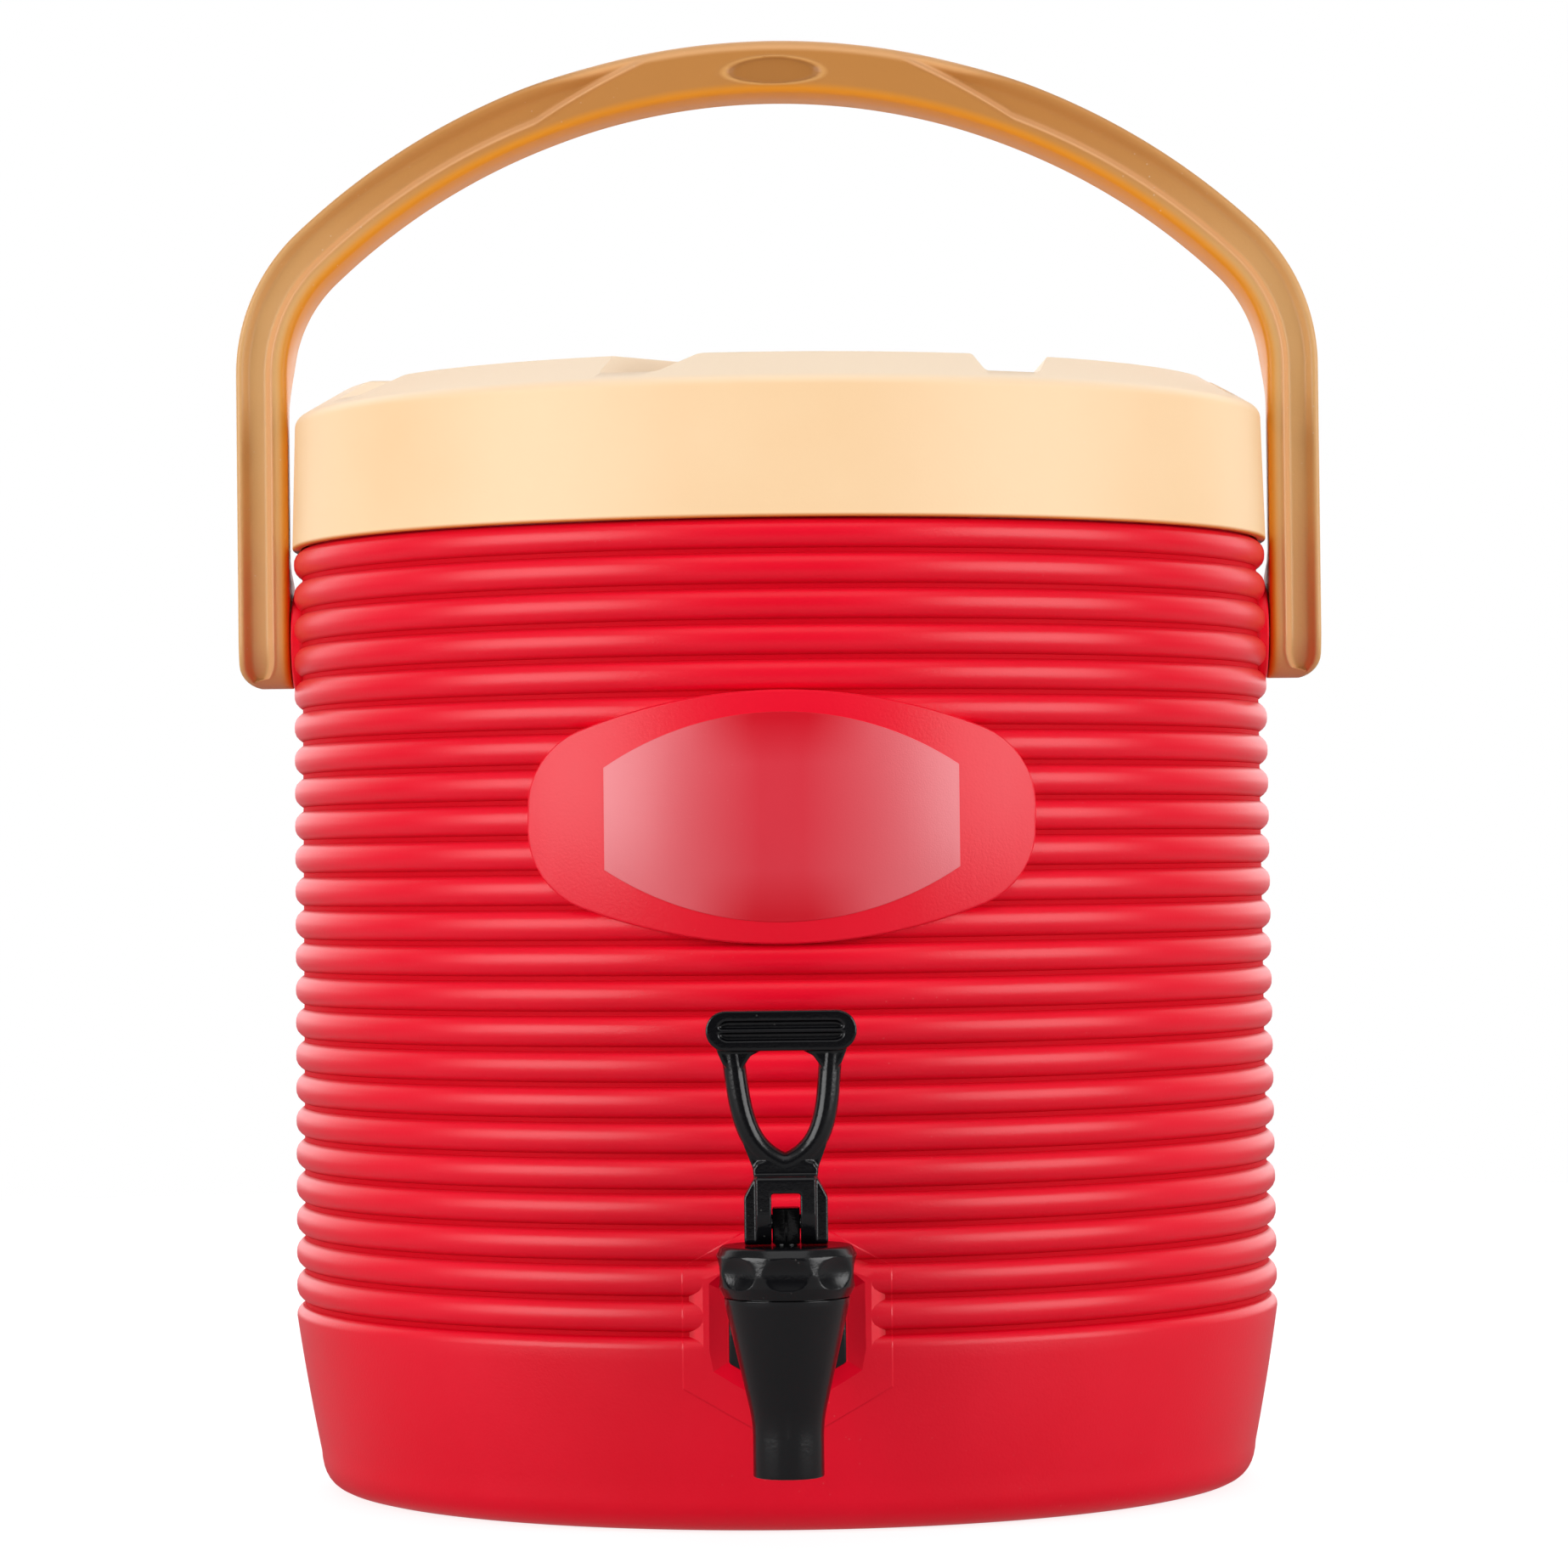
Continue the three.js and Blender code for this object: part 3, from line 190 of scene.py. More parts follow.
def as_group(name, **inputs):
    """Makes a node group of a function that works out the group's outputs by name."""
    def build(outputs_of):
        group = bpy.data.node_groups.new(name, "ShaderNodeTree")
        for title, value in inputs.items():
            given = group.interface.new_socket(name=title.replace("_", " "), in_out="INPUT",
                                               socket_type="NodeSocketFloat")
            given.default_value = value
        results = outputs_of(group, group.nodes.new("NodeGroupInput").outputs)
        for title in results:
            group.interface.new_socket(name=title, in_out="OUTPUT", socket_type="NodeSocketFloat")
        end = group.nodes.new("NodeGroupOutput")
        for title, source in results.items():
            link(group, source, end.inputs[title])
        return group
    return build


def use_group(tree, group, **values):
    node = tree.nodes.new("ShaderNodeGroup")
    node.node_tree = group
    for name, value in values.items():
        feed(tree, node.inputs[name.replace("_", " ")], value)
    return node.outputs


def place_on_piece(tree):
    return tree.nodes.new("ShaderNodeTexCoord").outputs["Object"]


def place_xyz(tree):
    split = fed_node(tree, "SeparateXYZ", Vector=place_on_piece(tree)).outputs
    return split["X"], split["Y"], split["Z"]


def distance_from(tree, value, middle=0.0):
    return maths(tree, "ABSOLUTE", maths(tree, "SUBTRACT", value, middle))


@as_group("moulded skin", Pebble_Scale=1500.0)
def moulded_skin(tree, given):
    """Fine pebbles of a moulded plastic, and the slow mottle of its gloss and tint."""
    place = place_on_piece(tree)
    return {"Height": noise(tree, place, given["Pebble Scale"], 2.0, 0.55),
            "Mottle": ranged(tree, noise(tree, place, 14.0, 3.0, 0.6), 0.3, 0.7)}


@as_group("handling wear", Amount=0.5)
def handling_wear(tree, given):
    """Thin scuffs and dust specks left by handling, as masks."""
    place = place_on_piece(tree)
    stretch = tree.nodes.new("ShaderNodeMapping")
    stretch.inputs["Rotation"].default_value = (0.3, 0.5, 0.9)
    stretch.inputs["Scale"].default_value = (1.0, 9.0, 1.0)
    link(tree, place, stretch.inputs["Vector"])
    streaks = noise(tree, stretch.outputs["Vector"], 110.0, 1.0, 0.4)
    patches = noise(tree, place, 22.0, 2.0, 0.5)
    specks = fed_node(tree, "TexVoronoi", Vector=place, Scale=260.0)
    speck = ranged(tree, specks.outputs["Distance"], 0.09, 0.05)
    return {"Scuffs": product(tree, ranged(tree, streaks, 0.66, 0.74), ranged(tree, patches, 0.52, 0.66),
                              given["Amount"]),
            "Dust": product(tree, speck, ranged(tree, patches, 0.45, 0.7), given["Amount"])}


@as_group("mould insert line", Half_Across=INSERT_HALF_ACROSS)
def mould_line(tree, given):
    """The faint step left round the tap's place by the hexagonal insert of the mould."""
    x, y, z = place_xyz(tree)
    across = distance_from(tree, x)
    up = distance_from(tree, z, SHANK_HEIGHT * MM)
    slanted = maths(tree, "ADD", product(tree, across, 0.5), product(tree, up, HEXAGON_SLANT))
    offset = maths(tree, "SUBTRACT", maths(tree, "MAXIMUM", across, slanted), given["Half Across"])
    step = ranged(tree, offset, -0.0002, 0.0002, 1.0, 0.0)
    return {"Line": product(tree, step, ranged(tree, y, -0.09, -0.1))}


@as_group("groove shade")
def groove_shade(tree, _):
    """Painted shade in the narrow grooves between the ribs: a mask that grows with their depth below the
    crests.
    """
    x, y, z = place_xyz(tree)
    radius = maths(tree, "POWER", maths(tree, "ADD", product(tree, x, x), product(tree, y, y)), 0.5)
    flare = product(tree, maths(tree, "SUBTRACT", SHELL_TOP * MM, z), BARREL_FLARE / RIBBED_HEIGHT)
    depth = ranged(tree, maths(tree, "SUBTRACT", radius, flare), GROOVE_STARTS, GROOVE_FLOOR, smooth=True)
    on_frame = use_group(tree, mould_line, Half_Across=FRAME_HALF_ACROSS)["Line"]
    off_frame = maths(tree, "SUBTRACT", 1.0, on_frame)
    ribbed = ranged(tree, z, (SKIRT_CREST + 0.5) * MM, (SKIRT_CREST + 1.5) * MM)
    return {"Shade": product(tree, ribbed, ranged(tree, radius, 0.1466, 0.1470), off_frame, depth)}


@as_group("height blend", Low=0.0, High=1.0)
def height_blend(tree, given):
    """How far up a piece a point is, between two heights."""
    return {"Blend": ranged(tree, place_xyz(tree)[2], given["Low"], given["High"], smooth=True)}


@as_group("grip oval")
def grip_oval(tree, _):
    """The oval on the grip: masks for a painted highlight on its raised ring and a painted shade, a
    little deeper in tint, on its floor.
    """
    x, y, z = place_xyz(tree)
    square = product(tree, x, x)
    middle = (ARCH_CENTRE + GRIP_RADIUS - OVAL_BELOW_MIDDLE) * MM
    droop = product(tree, square, 0.5 / (GRIP_RADIUS * MM))
    up = maths(tree, "ADD", maths(tree, "SUBTRACT", z, middle), droop)
    up = maths(tree, "DIVIDE", up, OVAL_HALF_HEIGHT * MM)
    along = maths(tree, "DIVIDE", square, (OVAL_HALF_LENGTH * MM) ** 2)
    spread = maths(tree, "POWER", maths(tree, "ADD", along, product(tree, up, up)), 0.5)
    front = ranged(tree, y, -0.008, -0.010)
    ring = product(tree, ranged(tree, spread, 0.92, 1.0), ranged(tree, spread, 1.04, 1.14, 1.0, 0.0))
    return {"Ring": product(tree, ring, front),
            "Floor": product(tree, ranged(tree, spread, 0.9, 0.96, 1.0, 0.0), front)}


@as_group("label painted light")
def label_painted_light(tree, _):
    """Painted reflection on the film grows towards both ends, and painted shade lies at the middle of its
    long sides.
    """
    x, _, z = place_xyz(tree)
    along, up = distance_from(tree, x), distance_from(tree, z, PAD_CENTRE * MM)
    return {"Painted reflection": ranged(tree, along, 0.006, 0.048),
            "Painted shade": product(tree, ranged(tree, along, 0.026, 0.008),
                             ranged(tree, up, 0.015, 0.028, 0.0, 0.95))}


def new_material(name):
    material = bpy.data.materials.new(name)
    material.use_nodes = True
    return material, material.node_tree, material.node_tree.nodes["Principled BSDF"]


def moulded_finish(name, tint, deep_tint, gloss_low, gloss_high, pebble_scale, pebble_depth,
                   wear=0.4, metallic=0.0, ribbed=False, specular=0.5, dust_tint=(0.8, 0.76, 0.7),
                   painted_light_bands=(), painted_reflection_tint=None, painted_light_places=()):
    """A moulded finish. A band is a tint of painted reflection, highlight or shade between two heights,
    and a painted light place one that a mask of the grip's oval or an attribute of the mesh brings in."""
    material, tree, shader = new_material(name)
    shader.inputs["Metallic"].default_value = metallic
    shader.inputs["Specular IOR Level"].default_value = specular
    skin = use_group(tree, moulded_skin, Pebble_Scale=pebble_scale)
    rubbed = use_group(tree, handling_wear, Amount=wear)
    colour = mixed(tree, skin["Mottle"], deep_tint, tint)
    if painted_reflection_tint:
        # A paler painted reflection towards the film's ends, and painted shade at the middles of its long
        # sides.
        film_painted_light = use_group(tree, label_painted_light)
        colour = mixed(tree, film_painted_light["Painted reflection"], colour, painted_reflection_tint)
        colour = mixed(tree, film_painted_light["Painted shade"], colour, FILM_PAINTED_SHADE_TINT)
    # Each band is painted light laid in between two heights.
    for low, high, painted_band_tint in painted_light_bands:
        blend = use_group(tree, height_blend, Low=low * MM, High=high * MM)
        colour = mixed(tree, blend["Blend"], colour, painted_band_tint)
    oval = use_group(tree, grip_oval) if painted_light_places else {}
    # Each such place is painted light: a highlight or a shade laid in by a mask.
    for place, painted_light_tint in painted_light_places:
        mask = oval.get(place)
        if not mask:
            attribute = tree.nodes.new("ShaderNodeAttribute")
            attribute.attribute_name = place
            mask = attribute.outputs["Fac"]
        colour = mixed(tree, mask, colour, painted_light_tint)
    colour = mixed(tree, rubbed["Dust"], colour, dust_tint)
    rough = maths(tree, "ADD", ranged(tree, skin["Mottle"], 0.0, 1.0, gloss_low, gloss_high),
                  product(tree, rubbed["Scuffs"], 0.12))
    normal = bumped(tree, skin["Height"], pebble_depth)
    if ribbed:
        # Painted shade darkens the grooves between the ribs, and they are made a little rougher.
        shade = use_group(tree, groove_shade)["Shade"]
        colour = mixed(tree, shade, colour, PAINTED_GROOVE_SHADE)
        rough = maths(tree, "ADD", rough, product(tree, shade, 0.2))
        normal = bumped(tree, use_group(tree, mould_line)["Line"], INSERT_STEP, normal)
    for name, value in (("Base Color", colour), ("Roughness", rough), ("Normal", normal)):
        link(tree, value, shader.inputs[name])
    return material


RED_TINTS = (0.87, 0.0015, 0.023), (0.82, 0.001, 0.018)
red_plastic = moulded_finish(
    "red plastic", *RED_TINTS, 0.31, 0.37, 1300.0, 0.00005, ribbed=True, specular=0.36, wear=0.06)
# The same red with its reflections dimmed: a shaded copy, as painted shade on the groove floors and the
# pocket's walls.
shaded_groove_red = moulded_finish(
    "red plastic, shaded copy for grooves and pocket", *RED_TINTS, 0.4, 0.46, 1300.0, 0.00005, ribbed=True, specular=0.07,
    wear=0.0)
label_film = moulded_finish(
    "label film", (0.73, 0.038, 0.060), (0.70, 0.032, 0.052), 0.3, 0.35, 2400.0, 0.00003, wear=0.04,
    # the paler tint of the label film's painted reflection at both ends
    painted_reflection_tint=(0.80, 0.155, 0.18))
cream_plastic = moulded_finish(
    "cream plastic", (1.0, 0.70, 0.41), (0.98, 0.66, 0.37), 0.42, 0.5, 1500.0, 0.00003, wear=0.12,
    # Painted reflection of the red shell, in orange, along the lid's lower edge, and a paler painted
    # highlight round its upper rounded edge.
    painted_light_bands=((LID_BOTTOM + 1.3, LID_BOTTOM + 0.1, (0.75, 0.22, 0.03)),
           (LID_SIDE_TOP - 2.6, LID_SIDE_TOP + 1.6, (1.0, 0.80, 0.59))))
tan_plastic = moulded_finish(
    "tan plastic", (0.71, 0.41, 0.165), (0.65, 0.365, 0.135), 0.36, 0.44, 900.0, 0.00004, wear=0.3,
    # Painted shade: darker, deeper orange over the top of the arch, from 345 to 425 mm up.
    specular=0.4, painted_light_bands=((345.0, 425.0, (0.50, 0.215, 0.052)),),
    # Painted highlights on the outer edges, the channels' walls and the oval's ring; painted shade on the
    # inner edge and the oval's floor.
    painted_light_places=(("outer edge", (0.74, 0.38, 0.15)), ("inner edge", (0.75, 0.275, 0.006)),
                   ("channel wall", (0.72, 0.37, 0.16)), ("Floor", (0.40, 0.165, 0.036)),
                   ("Ring", (0.64, 0.32, 0.10))))
black_plastic = moulded_finish(
    "black plastic", (0.004, 0.004, 0.005), (0.003, 0.003, 0.004), 0.16, 0.24, 1100.0, 0.00004,
    wear=0.35, specular=0.43, dust_tint=(0.25, 0.24, 0.23))
white_plastic = moulded_finish(
    "white plastic", (0.84, 0.83, 0.79), (0.78, 0.77, 0.73), 0.38, 0.46, 1500.0, 0.00003)
steel = moulded_finish(
    "brushed steel", (0.62, 0.62, 0.63), (0.52, 0.52, 0.54), 0.22, 0.32, 2600.0, 0.00001, wear=0.7,
    metallic=1.0)
silicone = moulded_finish(
    "silicone", (0.80, 0.79, 0.75), (0.72, 0.71, 0.67), 0.55, 0.65, 900.0, 0.00004, wear=0.3)
rubber = moulded_finish(
    "black rubber", (0.022, 0.022, 0.023), (0.014, 0.014, 0.015), 0.6, 0.72, 700.0, 0.00006, wear=0.5,
    dust_tint=(0.3, 0.29, 0.27))
foam = moulded_finish(
    "insulating foam", (0.82, 0.74, 0.55), (0.70, 0.61, 0.42), 0.85, 0.95, 350.0, 0.0004, wear=0.2)


# ---- drawing tools

def softened(points, steps=5):
    """A closed outline whose corners with a third number are rounded to that radius."""
    outline = []
    for index, point in enumerate(points):
        corner = Vector(point[:2])
        radius = point[2] if len(point) > 2 else 0.0
        if not radius:
            outline.append(tuple(corner))
            continue
        before = (Vector(points[index - 1][:2]) - corner).normalized()
        after = (Vector(points[(index + 1) % len(points)][:2]) - corner).normalized()
        half = before.angle(after) / 2
        centre = corner + (before + after).normalized() * (radius / sin(half))
        first = corner + before * (radius / tan(half)) - centre
        last = corner + after * (radius / tan(half)) - centre
        start = atan2(first.y, first.x)
        sweep = atan2(first.x * last.y - first.y * last.x, first.dot(last))
        for step in range(steps + 1):
            angle = start + sweep * step / steps
            outline.append((centre.x + radius * cos(angle), centre.y + radius * sin(angle)))
    return outline


def faced_out(bm):
    bmesh.ops.recalc_face_normals(bm, faces=bm.faces)
    return bm


def spun(profile, segments):
    """A closed profile of (radius, height) pairs spun about the upright axis."""
    bm = bmesh.new()
    ring = [bm.verts.new((max(radius, 0.0), 0.0, height)) for radius, height in profile]
    edges = [bm.edges.new(pair) for pair in zip(ring, ring[1:] + ring[:1])]
    bmesh.ops.spin(bm, geom=ring + edges, cent=(0, 0, 0), axis=(0, 0, 1), dvec=(0, 0, 0),
                   angle=tau, steps=segments, use_merge=True, use_duplicate=False)
    bmesh.ops.remove_doubles(bm, verts=bm.verts, dist=0.0005)
    bmesh.ops.dissolve_degenerate(bm, edges=bm.edges, dist=0.0002)
    return faced_out(bm)


def drawn_out(outline, low, high, axis="Y"):
    """An outline drawn straight along an axis. Its points are (x, z) along Y, (y, z) along X."""
    along_side = axis == "X"
    bm = bmesh.new()
    face = bm.faces.new([bm.verts.new((low, u, v) if along_side else (u, low, v)) for u, v in outline])
    drawn = bmesh.ops.extrude_face_region(bm, geom=[face])
    far_end = [item for item in drawn["geom"] if isinstance(item, bmesh.types.BMVert)]
    way = Vector((1, 0, 0)) if along_side else Vector((0, 1, 0))
    bmesh.ops.translate(bm, vec=way * (high - low), verts=far_end)
    return faced_out(bm)


def brick(x, y, z):
    """A block between pairs of limits on each axis."""
    bm = bmesh.new()
    bmesh.ops.create_cube(bm, size=1.0)
    size = [pair[1] - pair[0] for pair in (x, y, z)]
    middle = [(pair[1] + pair[0]) / 2 for pair in (x, y, z)]
    bmesh.ops.scale(bm, vec=size, verts=bm.verts)
    bmesh.ops.translate(bm, vec=middle, verts=bm.verts)
    return bm


def rod(radius, low, high, height, axis="X", segments=48, chamfer=0.0):
    """A round rod along X or Y at a height."""
    outline = [(0.0, low), (radius - chamfer, low), (radius, low + chamfer),
               (radius, high - chamfer), (radius - chamfer, high), (0.0, high)]
    bm = spun(outline, segments)
    return moved(turned(bm, 90.0, "Y") if axis == "X" else turned(bm, -90.0, "X"), z=height)


def moved(bm, x=0.0, y=0.0, z=0.0):
    bmesh.ops.translate(bm, vec=(x, y, z), verts=bm.verts)
    return bm


def turned(bm, degrees, axis="Z"):
    bmesh.ops.rotate(bm, cent=(0, 0, 0), matrix=Matrix.Rotation(radians(degrees), 3, axis),
                     verts=bm.verts)
    return bm


def rounded(bm, edges, width, segments=3):
    bmesh.ops.bevel(bm, geom=edges, offset=width, offset_type="OFFSET", affect="EDGES",
                    segments=segments, profile=0.5, material=-1, clamp_overlap=True)
    return bm


def eased(bm, width, segments=3):
    """Rounds every edge that turns by more than 30 degrees."""
    sharp = [edge for edge in bm.edges
             if len(edge.link_faces) == 2 and edge.calc_face_angle(0.0) > radians(30.0)]
    return rounded(bm, sharp, width, segments)


def lofted(columns, rows, place):
    """A skin of closed sections with capped ends; place gives the point of a column and row."""
    bm = bmesh.new()
    bmesh.ops.create_grid(bm, x_segments=columns, y_segments=rows - 1, size=1.0)
    for vert in bm.verts:
        vert.co = place(round((vert.co.x + 1) / 2 * columns) % columns,
                        round((vert.co.y + 1) / 2 * (rows - 1)))
    bmesh.ops.remove_doubles(bm, verts=bm.verts, dist=0.001)
    bmesh.ops.holes_fill(bm, edges=[edge for edge in bm.edges if edge.is_boundary], sides=0)
    return faced_out(bm)


def put_together(*parts):
    """One mesh from several, with what they were made from thrown away."""
    whole = bmesh.new()
    for part in parts:
        mesh = bpy.data.meshes.new("part")
        part.to_mesh(mesh)
        part.free()
        whole.from_mesh(mesh)
        bpy.data.meshes.remove(mesh)
    return whole


def put_in_scene(name, data):
    item = bpy.data.objects.new(name, data)
    bpy.context.scene.collection.objects.link(item)
    return item


def laid_out(bm, name):
    mesh = bpy.data.meshes.new(name)
    bm.to_mesh(mesh)
    bm.free()
    return put_in_scene(name, mesh)


def worked(blank, modifiers, tools=()):
    """The blank's mesh once its modifiers are applied; blank and tools are then removed."""
    for kind, settings in modifiers:
        modifier = blank.modifiers.new(kind, kind)
        for name, value in settings.items():
            setattr(modifier, name, value)
    graph = bpy.context.evaluated_depsgraph_get()
    mesh = bpy.data.meshes.new_from_object(blank.evaluated_get(graph))
    bm = bmesh.new()
    bm.from_mesh(mesh)
    bpy.data.meshes.remove(mesh)
    for item in (blank, *tools):
        data = item.data
        bpy.data.objects.remove(item)
        bpy.data.meshes.remove(data)
    return bm


def shaped(blank, cutters=(), added=(), within=()):
    """The blank joined with the added solids, cut by the cutters and kept within the last ones."""
    blank = laid_out(blank, "blank")
    tools, modifiers = [], []
    for operation, group in (("UNION", added), ("DIFFERENCE", cutters), ("INTERSECT", within)):
        for solid in group:
            tool = laid_out(solid, "tool")
            tools.append(tool)
            modifiers.append(("BOOLEAN", {"object": tool, "operation": operation, "solver": "EXACT"}))
    return worked(blank, modifiers, tools)


def melted(bm, voxel, passes):
    """Overlapping solids moulded into one skin with soft inside and outside corners."""
    blank = laid_out(bm, "blank")
    return worked(blank, [
        ("REMESH", {"mode": "VOXEL", "voxel_size": voxel}),
        ("SMOOTH", {"factor": 0.5, "iterations": passes}),
    ])


def finished(name, bm, material, body, replaced, sharp=32.0, weighted=False):
    """Turns a drawing into a piece of the scene, in metres, that rides on its body."""
    bmesh.ops.remove_doubles(bm, verts=bm.verts, dist=0.0005)
    bmesh.ops.scale(faced_out(bm), vec=(MM, MM, MM), verts=bm.verts)
    piece = laid_out(bm, name)
    piece.data.shade_smooth()
    piece.data.set_sharp_from_angle(angle=radians(sharp))
    piece.data.materials.append(material)
    if weighted:
        piece.modifiers.new("flat faces stay flat", "WEIGHTED_NORMAL").keep_sharp = True
    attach(piece, body)
    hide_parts(*replaced)
    return piece


def curve_points(start, control, end, count):
    """Points of a curve with one control point, without its first."""
    points = []
    for index in range(1, count + 1):
        t = index / count
        points.append(tuple((1 - t) ** 2 * a + 2 * t * (1 - t) * b + t * t * c
                            for a, b, c in zip(start, control, end)))
    return points


# ---- barrel

def skirt_side():
    """The smooth skirt's outer line, from the foot up over its rounded top edge."""
    crest, low_height, bulge = BARREL_WIDEST, 11.0, 0.6
    line = [(FOOT_RADIUS, 0.0)]
    line += curve_points(line[0], (SKIRT_LOW_RADIUS - bulge, 0.0), (SKIRT_LOW_RADIUS, low_height), 9)
    middle = ((SKIRT_LOW_RADIUS + crest) / 2 + bulge, (low_height + SKIRT_CREST) / 2)
    line += curve_points((SKIRT_LOW_RADIUS, low_height), middle, (crest, SKIRT_CREST), 10)
    rise = RIB_START - GROOVE_HALF - SKIRT_CREST
    for step in range(1, 7):
        t = sin(step / 6 * pi / 2)
        line.append((crest - RIB_DEPTH * t ** RIB_FULLNESS, SKIRT_CREST + rise * t))
    return line


def rib_side():
    """Rounded ribs with narrow flat grooves between them."""
    steps = 5
    line = []
    for index in range(RIB_COUNT):
        crest = BARREL_RADIUS + BARREL_FLARE * (1 - index / (RIB_COUNT - 1))
        low = RIB_START + index * RIB_PITCH
        high = min(low + RIB_PITCH, SHELL_TOP + GROOVE_HALF)
        centre, half = (low + high) / 2, (high - low) / 2 - GROOVE_HALF
        for step in range(-steps, steps + 1):
            t = sin(step / steps * pi / 2)
            line.append((crest - RIB_DEPTH * abs(t) ** RIB_FULLNESS, centre + half * t))
    return line


def crest_side():
    """The barrel as it would be without grooves."""
    low = [point for point in skirt_side() if point[1] <= SKIRT_CREST]
    return [(0.0, 0.0), *low, (BARREL_WIDEST, RIB_START), (BARREL_RADIUS, SHELL_TOP), (0.0, SHELL_TOP)]


def hexagon_taper(rear_across, front_across, rear, front):
    """An upright hexagon that changes size along Y between two depths."""
    bm = bmesh.new()
    ratio = 1 / cos(pi / 6) / 2
    bmesh.ops.create_cone(bm, cap_ends=True, segments=6, radius1=front_across * ratio,
                          radius2=rear_across * ratio, depth=rear - front)
    tip = max(turned(bm, -90.0, "X").verts, key=lambda v: v.co.z).co
    if abs(tip.x) > 0.01:
        turned(bm, 30.0, "Y")
    return moved(bm, 0.0, (rear + front) / 2, SHANK_HEIGHT)


def oval_outline(half_width, half_height, arc_radius, straight, steps):
    """Two long arcs joined by rounded ends, as seen from the front."""
    drop = arc_radius - half_height
    end_height = drop + straight
    spare = arc_radius ** 2 - half_width ** 2 - end_height ** 2
    end_radius = spare / (2 * (arc_radius - half_width))
    end_x = half_width - end_radius
    angle = atan2(end_height, end_x)
    arcs = [(0.0, -drop, arc_radius, angle, pi - angle, steps * 4),
            (-end_x, straight, end_radius, pi - angle, pi, steps),
            (-end_x, -straight, end_radius, pi, pi + angle, steps),
            (0.0, drop, arc_radius, pi + angle, tau - angle, steps * 4),
            (end_x, -straight, end_radius, tau - angle, tau, steps),
            (end_x, straight, end_radius, 0.0, angle, steps)]
    outline = []
    for x, z, radius, start, stop, count in arcs:
        for index in range(count):
            turn = start + (stop - start) * index / count
            outline.append((x + radius * cos(turn), z + PAD_CENTRE + radius * sin(turn)))
    return outline


def wrapped_patch(outline, inner, outer, softness):
    """A plate cut to an outline seen from the front and bent round the barrel, with a soft rim."""
    bm = drawn_out(outline, -outer, -inner)
    rim = [edge for edge in bm.edges if all(abs(v.co.y + outer) < 1e-4 for v in edge.verts)]
    rounded(bm, rim, softness)
    strip = 3.0
    steps = int(max(abs(v.co.x) for v in bm.verts) / strip)
    for index in range(-steps, steps + 1):
        bmesh.ops.bisect_plane(bm, geom=bm.verts[:] + bm.edges[:] + bm.faces[:], dist=0.0001,
                               plane_co=(index * strip, 0, 0), plane_no=(1, 0, 0))
    for vert in bm.verts:
        radius = -vert.co.y
        turn = asin(vert.co.x / outer)
        vert.co.x, vert.co.y = radius * sin(turn), -radius * cos(turn)
    return faced_out(bm)


def at_both_sides(radius, near, far, segments=48, chamfer=0.0):
    """Two rods on the handle's axis, one at each side of the barrel."""
    return [rod(radius, *sorted((side * near, side * far)), PIVOT_HEIGHT, "X", segments, chamfer)
            for side in (-1, 1)]


def make_shell():
    """The red shell. Groove faces and the pocket's walls get a copy of the red with dimmed reflections,
    as painted shade.
    """
    outside = skirt_side() + rib_side()
    inside = [(145.1, SHELL_TOP), (145.1, RIB_START), (141.6, 11.0),
              (FOOT_RADIUS, 3.0), (120.0, 3.0), (120.0, 0.0)]
    shell = spun(outside + [(147.2, SHELL_TOP)] + inside, BARREL_SEGMENTS)
    raised = shaped(hexagon_taper(55.4, 41.3, 5.1 - BARREL_WIDEST, -BARREL_WIDEST - 0.6),
                    within=[spun(crest_side(), BARREL_SEGMENTS)])
    rim = hexagon_taper(43.0, 43.0, -140.2, -145.2)
    pad = wrapped_patch(oval_outline(73.0, 36.0, 160.6, 2.9, 8), 146.0, PAD_RADIUS, 0.9)
    pocket = hexagon_taper(34.0, 61.3, -146.3, -BARREL_WIDEST - 4.0)
    hole = rod(8.3, -170.0, -120.0, SHANK_HEIGHT, "Y")
    bosses = at_both_sides(15.5, 142.5, 150.6, 64, 0.5)
    screw_holes, pillars = at_both_sides(4.1, 137.2, 152.0), at_both_sides(9.0, 134.6, 145.5)
    bm = shaped(shell, [pocket, hole, *screw_holes], [raised, rim, pad, *bosses, *pillars])
    piece = finished("barrel_shell", bm, red_plastic, "barrel", ["outer_shell"], 28.0)
    piece.data.materials.append(shaded_groove_red)
    for face in piece.data.polygons:
        x, y, z = (value / MM for value in face.center)
        up = z - SHANK_HEIGHT
        depth = BARREL_RADIUS + BARREL_FLARE * (SHELL_TOP - z) / RIBBED_HEIGHT - hypot(x, y)
        in_groove = SKIRT_CREST + 1.0 < z < SHELL_TOP and 2.0 < depth < 2.8
        off_tap = max(abs(x), abs(x) / 2 + abs(up) * HEXAGON_SLANT) if y < 0 else BARREL_RADIUS
        to_tap = -(face.normal.x * x + face.normal.z * up) / max(hypot(x, up), 0.1)
        in_pocket = off_tap < POCKET_HALF_ACROSS and to_tap > 0.3
        # Groove floors and the pocket's walls take the shaded copy of the red.
        if in_pocket or (in_groove and off_tap > GROOVES_HALF_ACROSS):
            face.material_index = 1


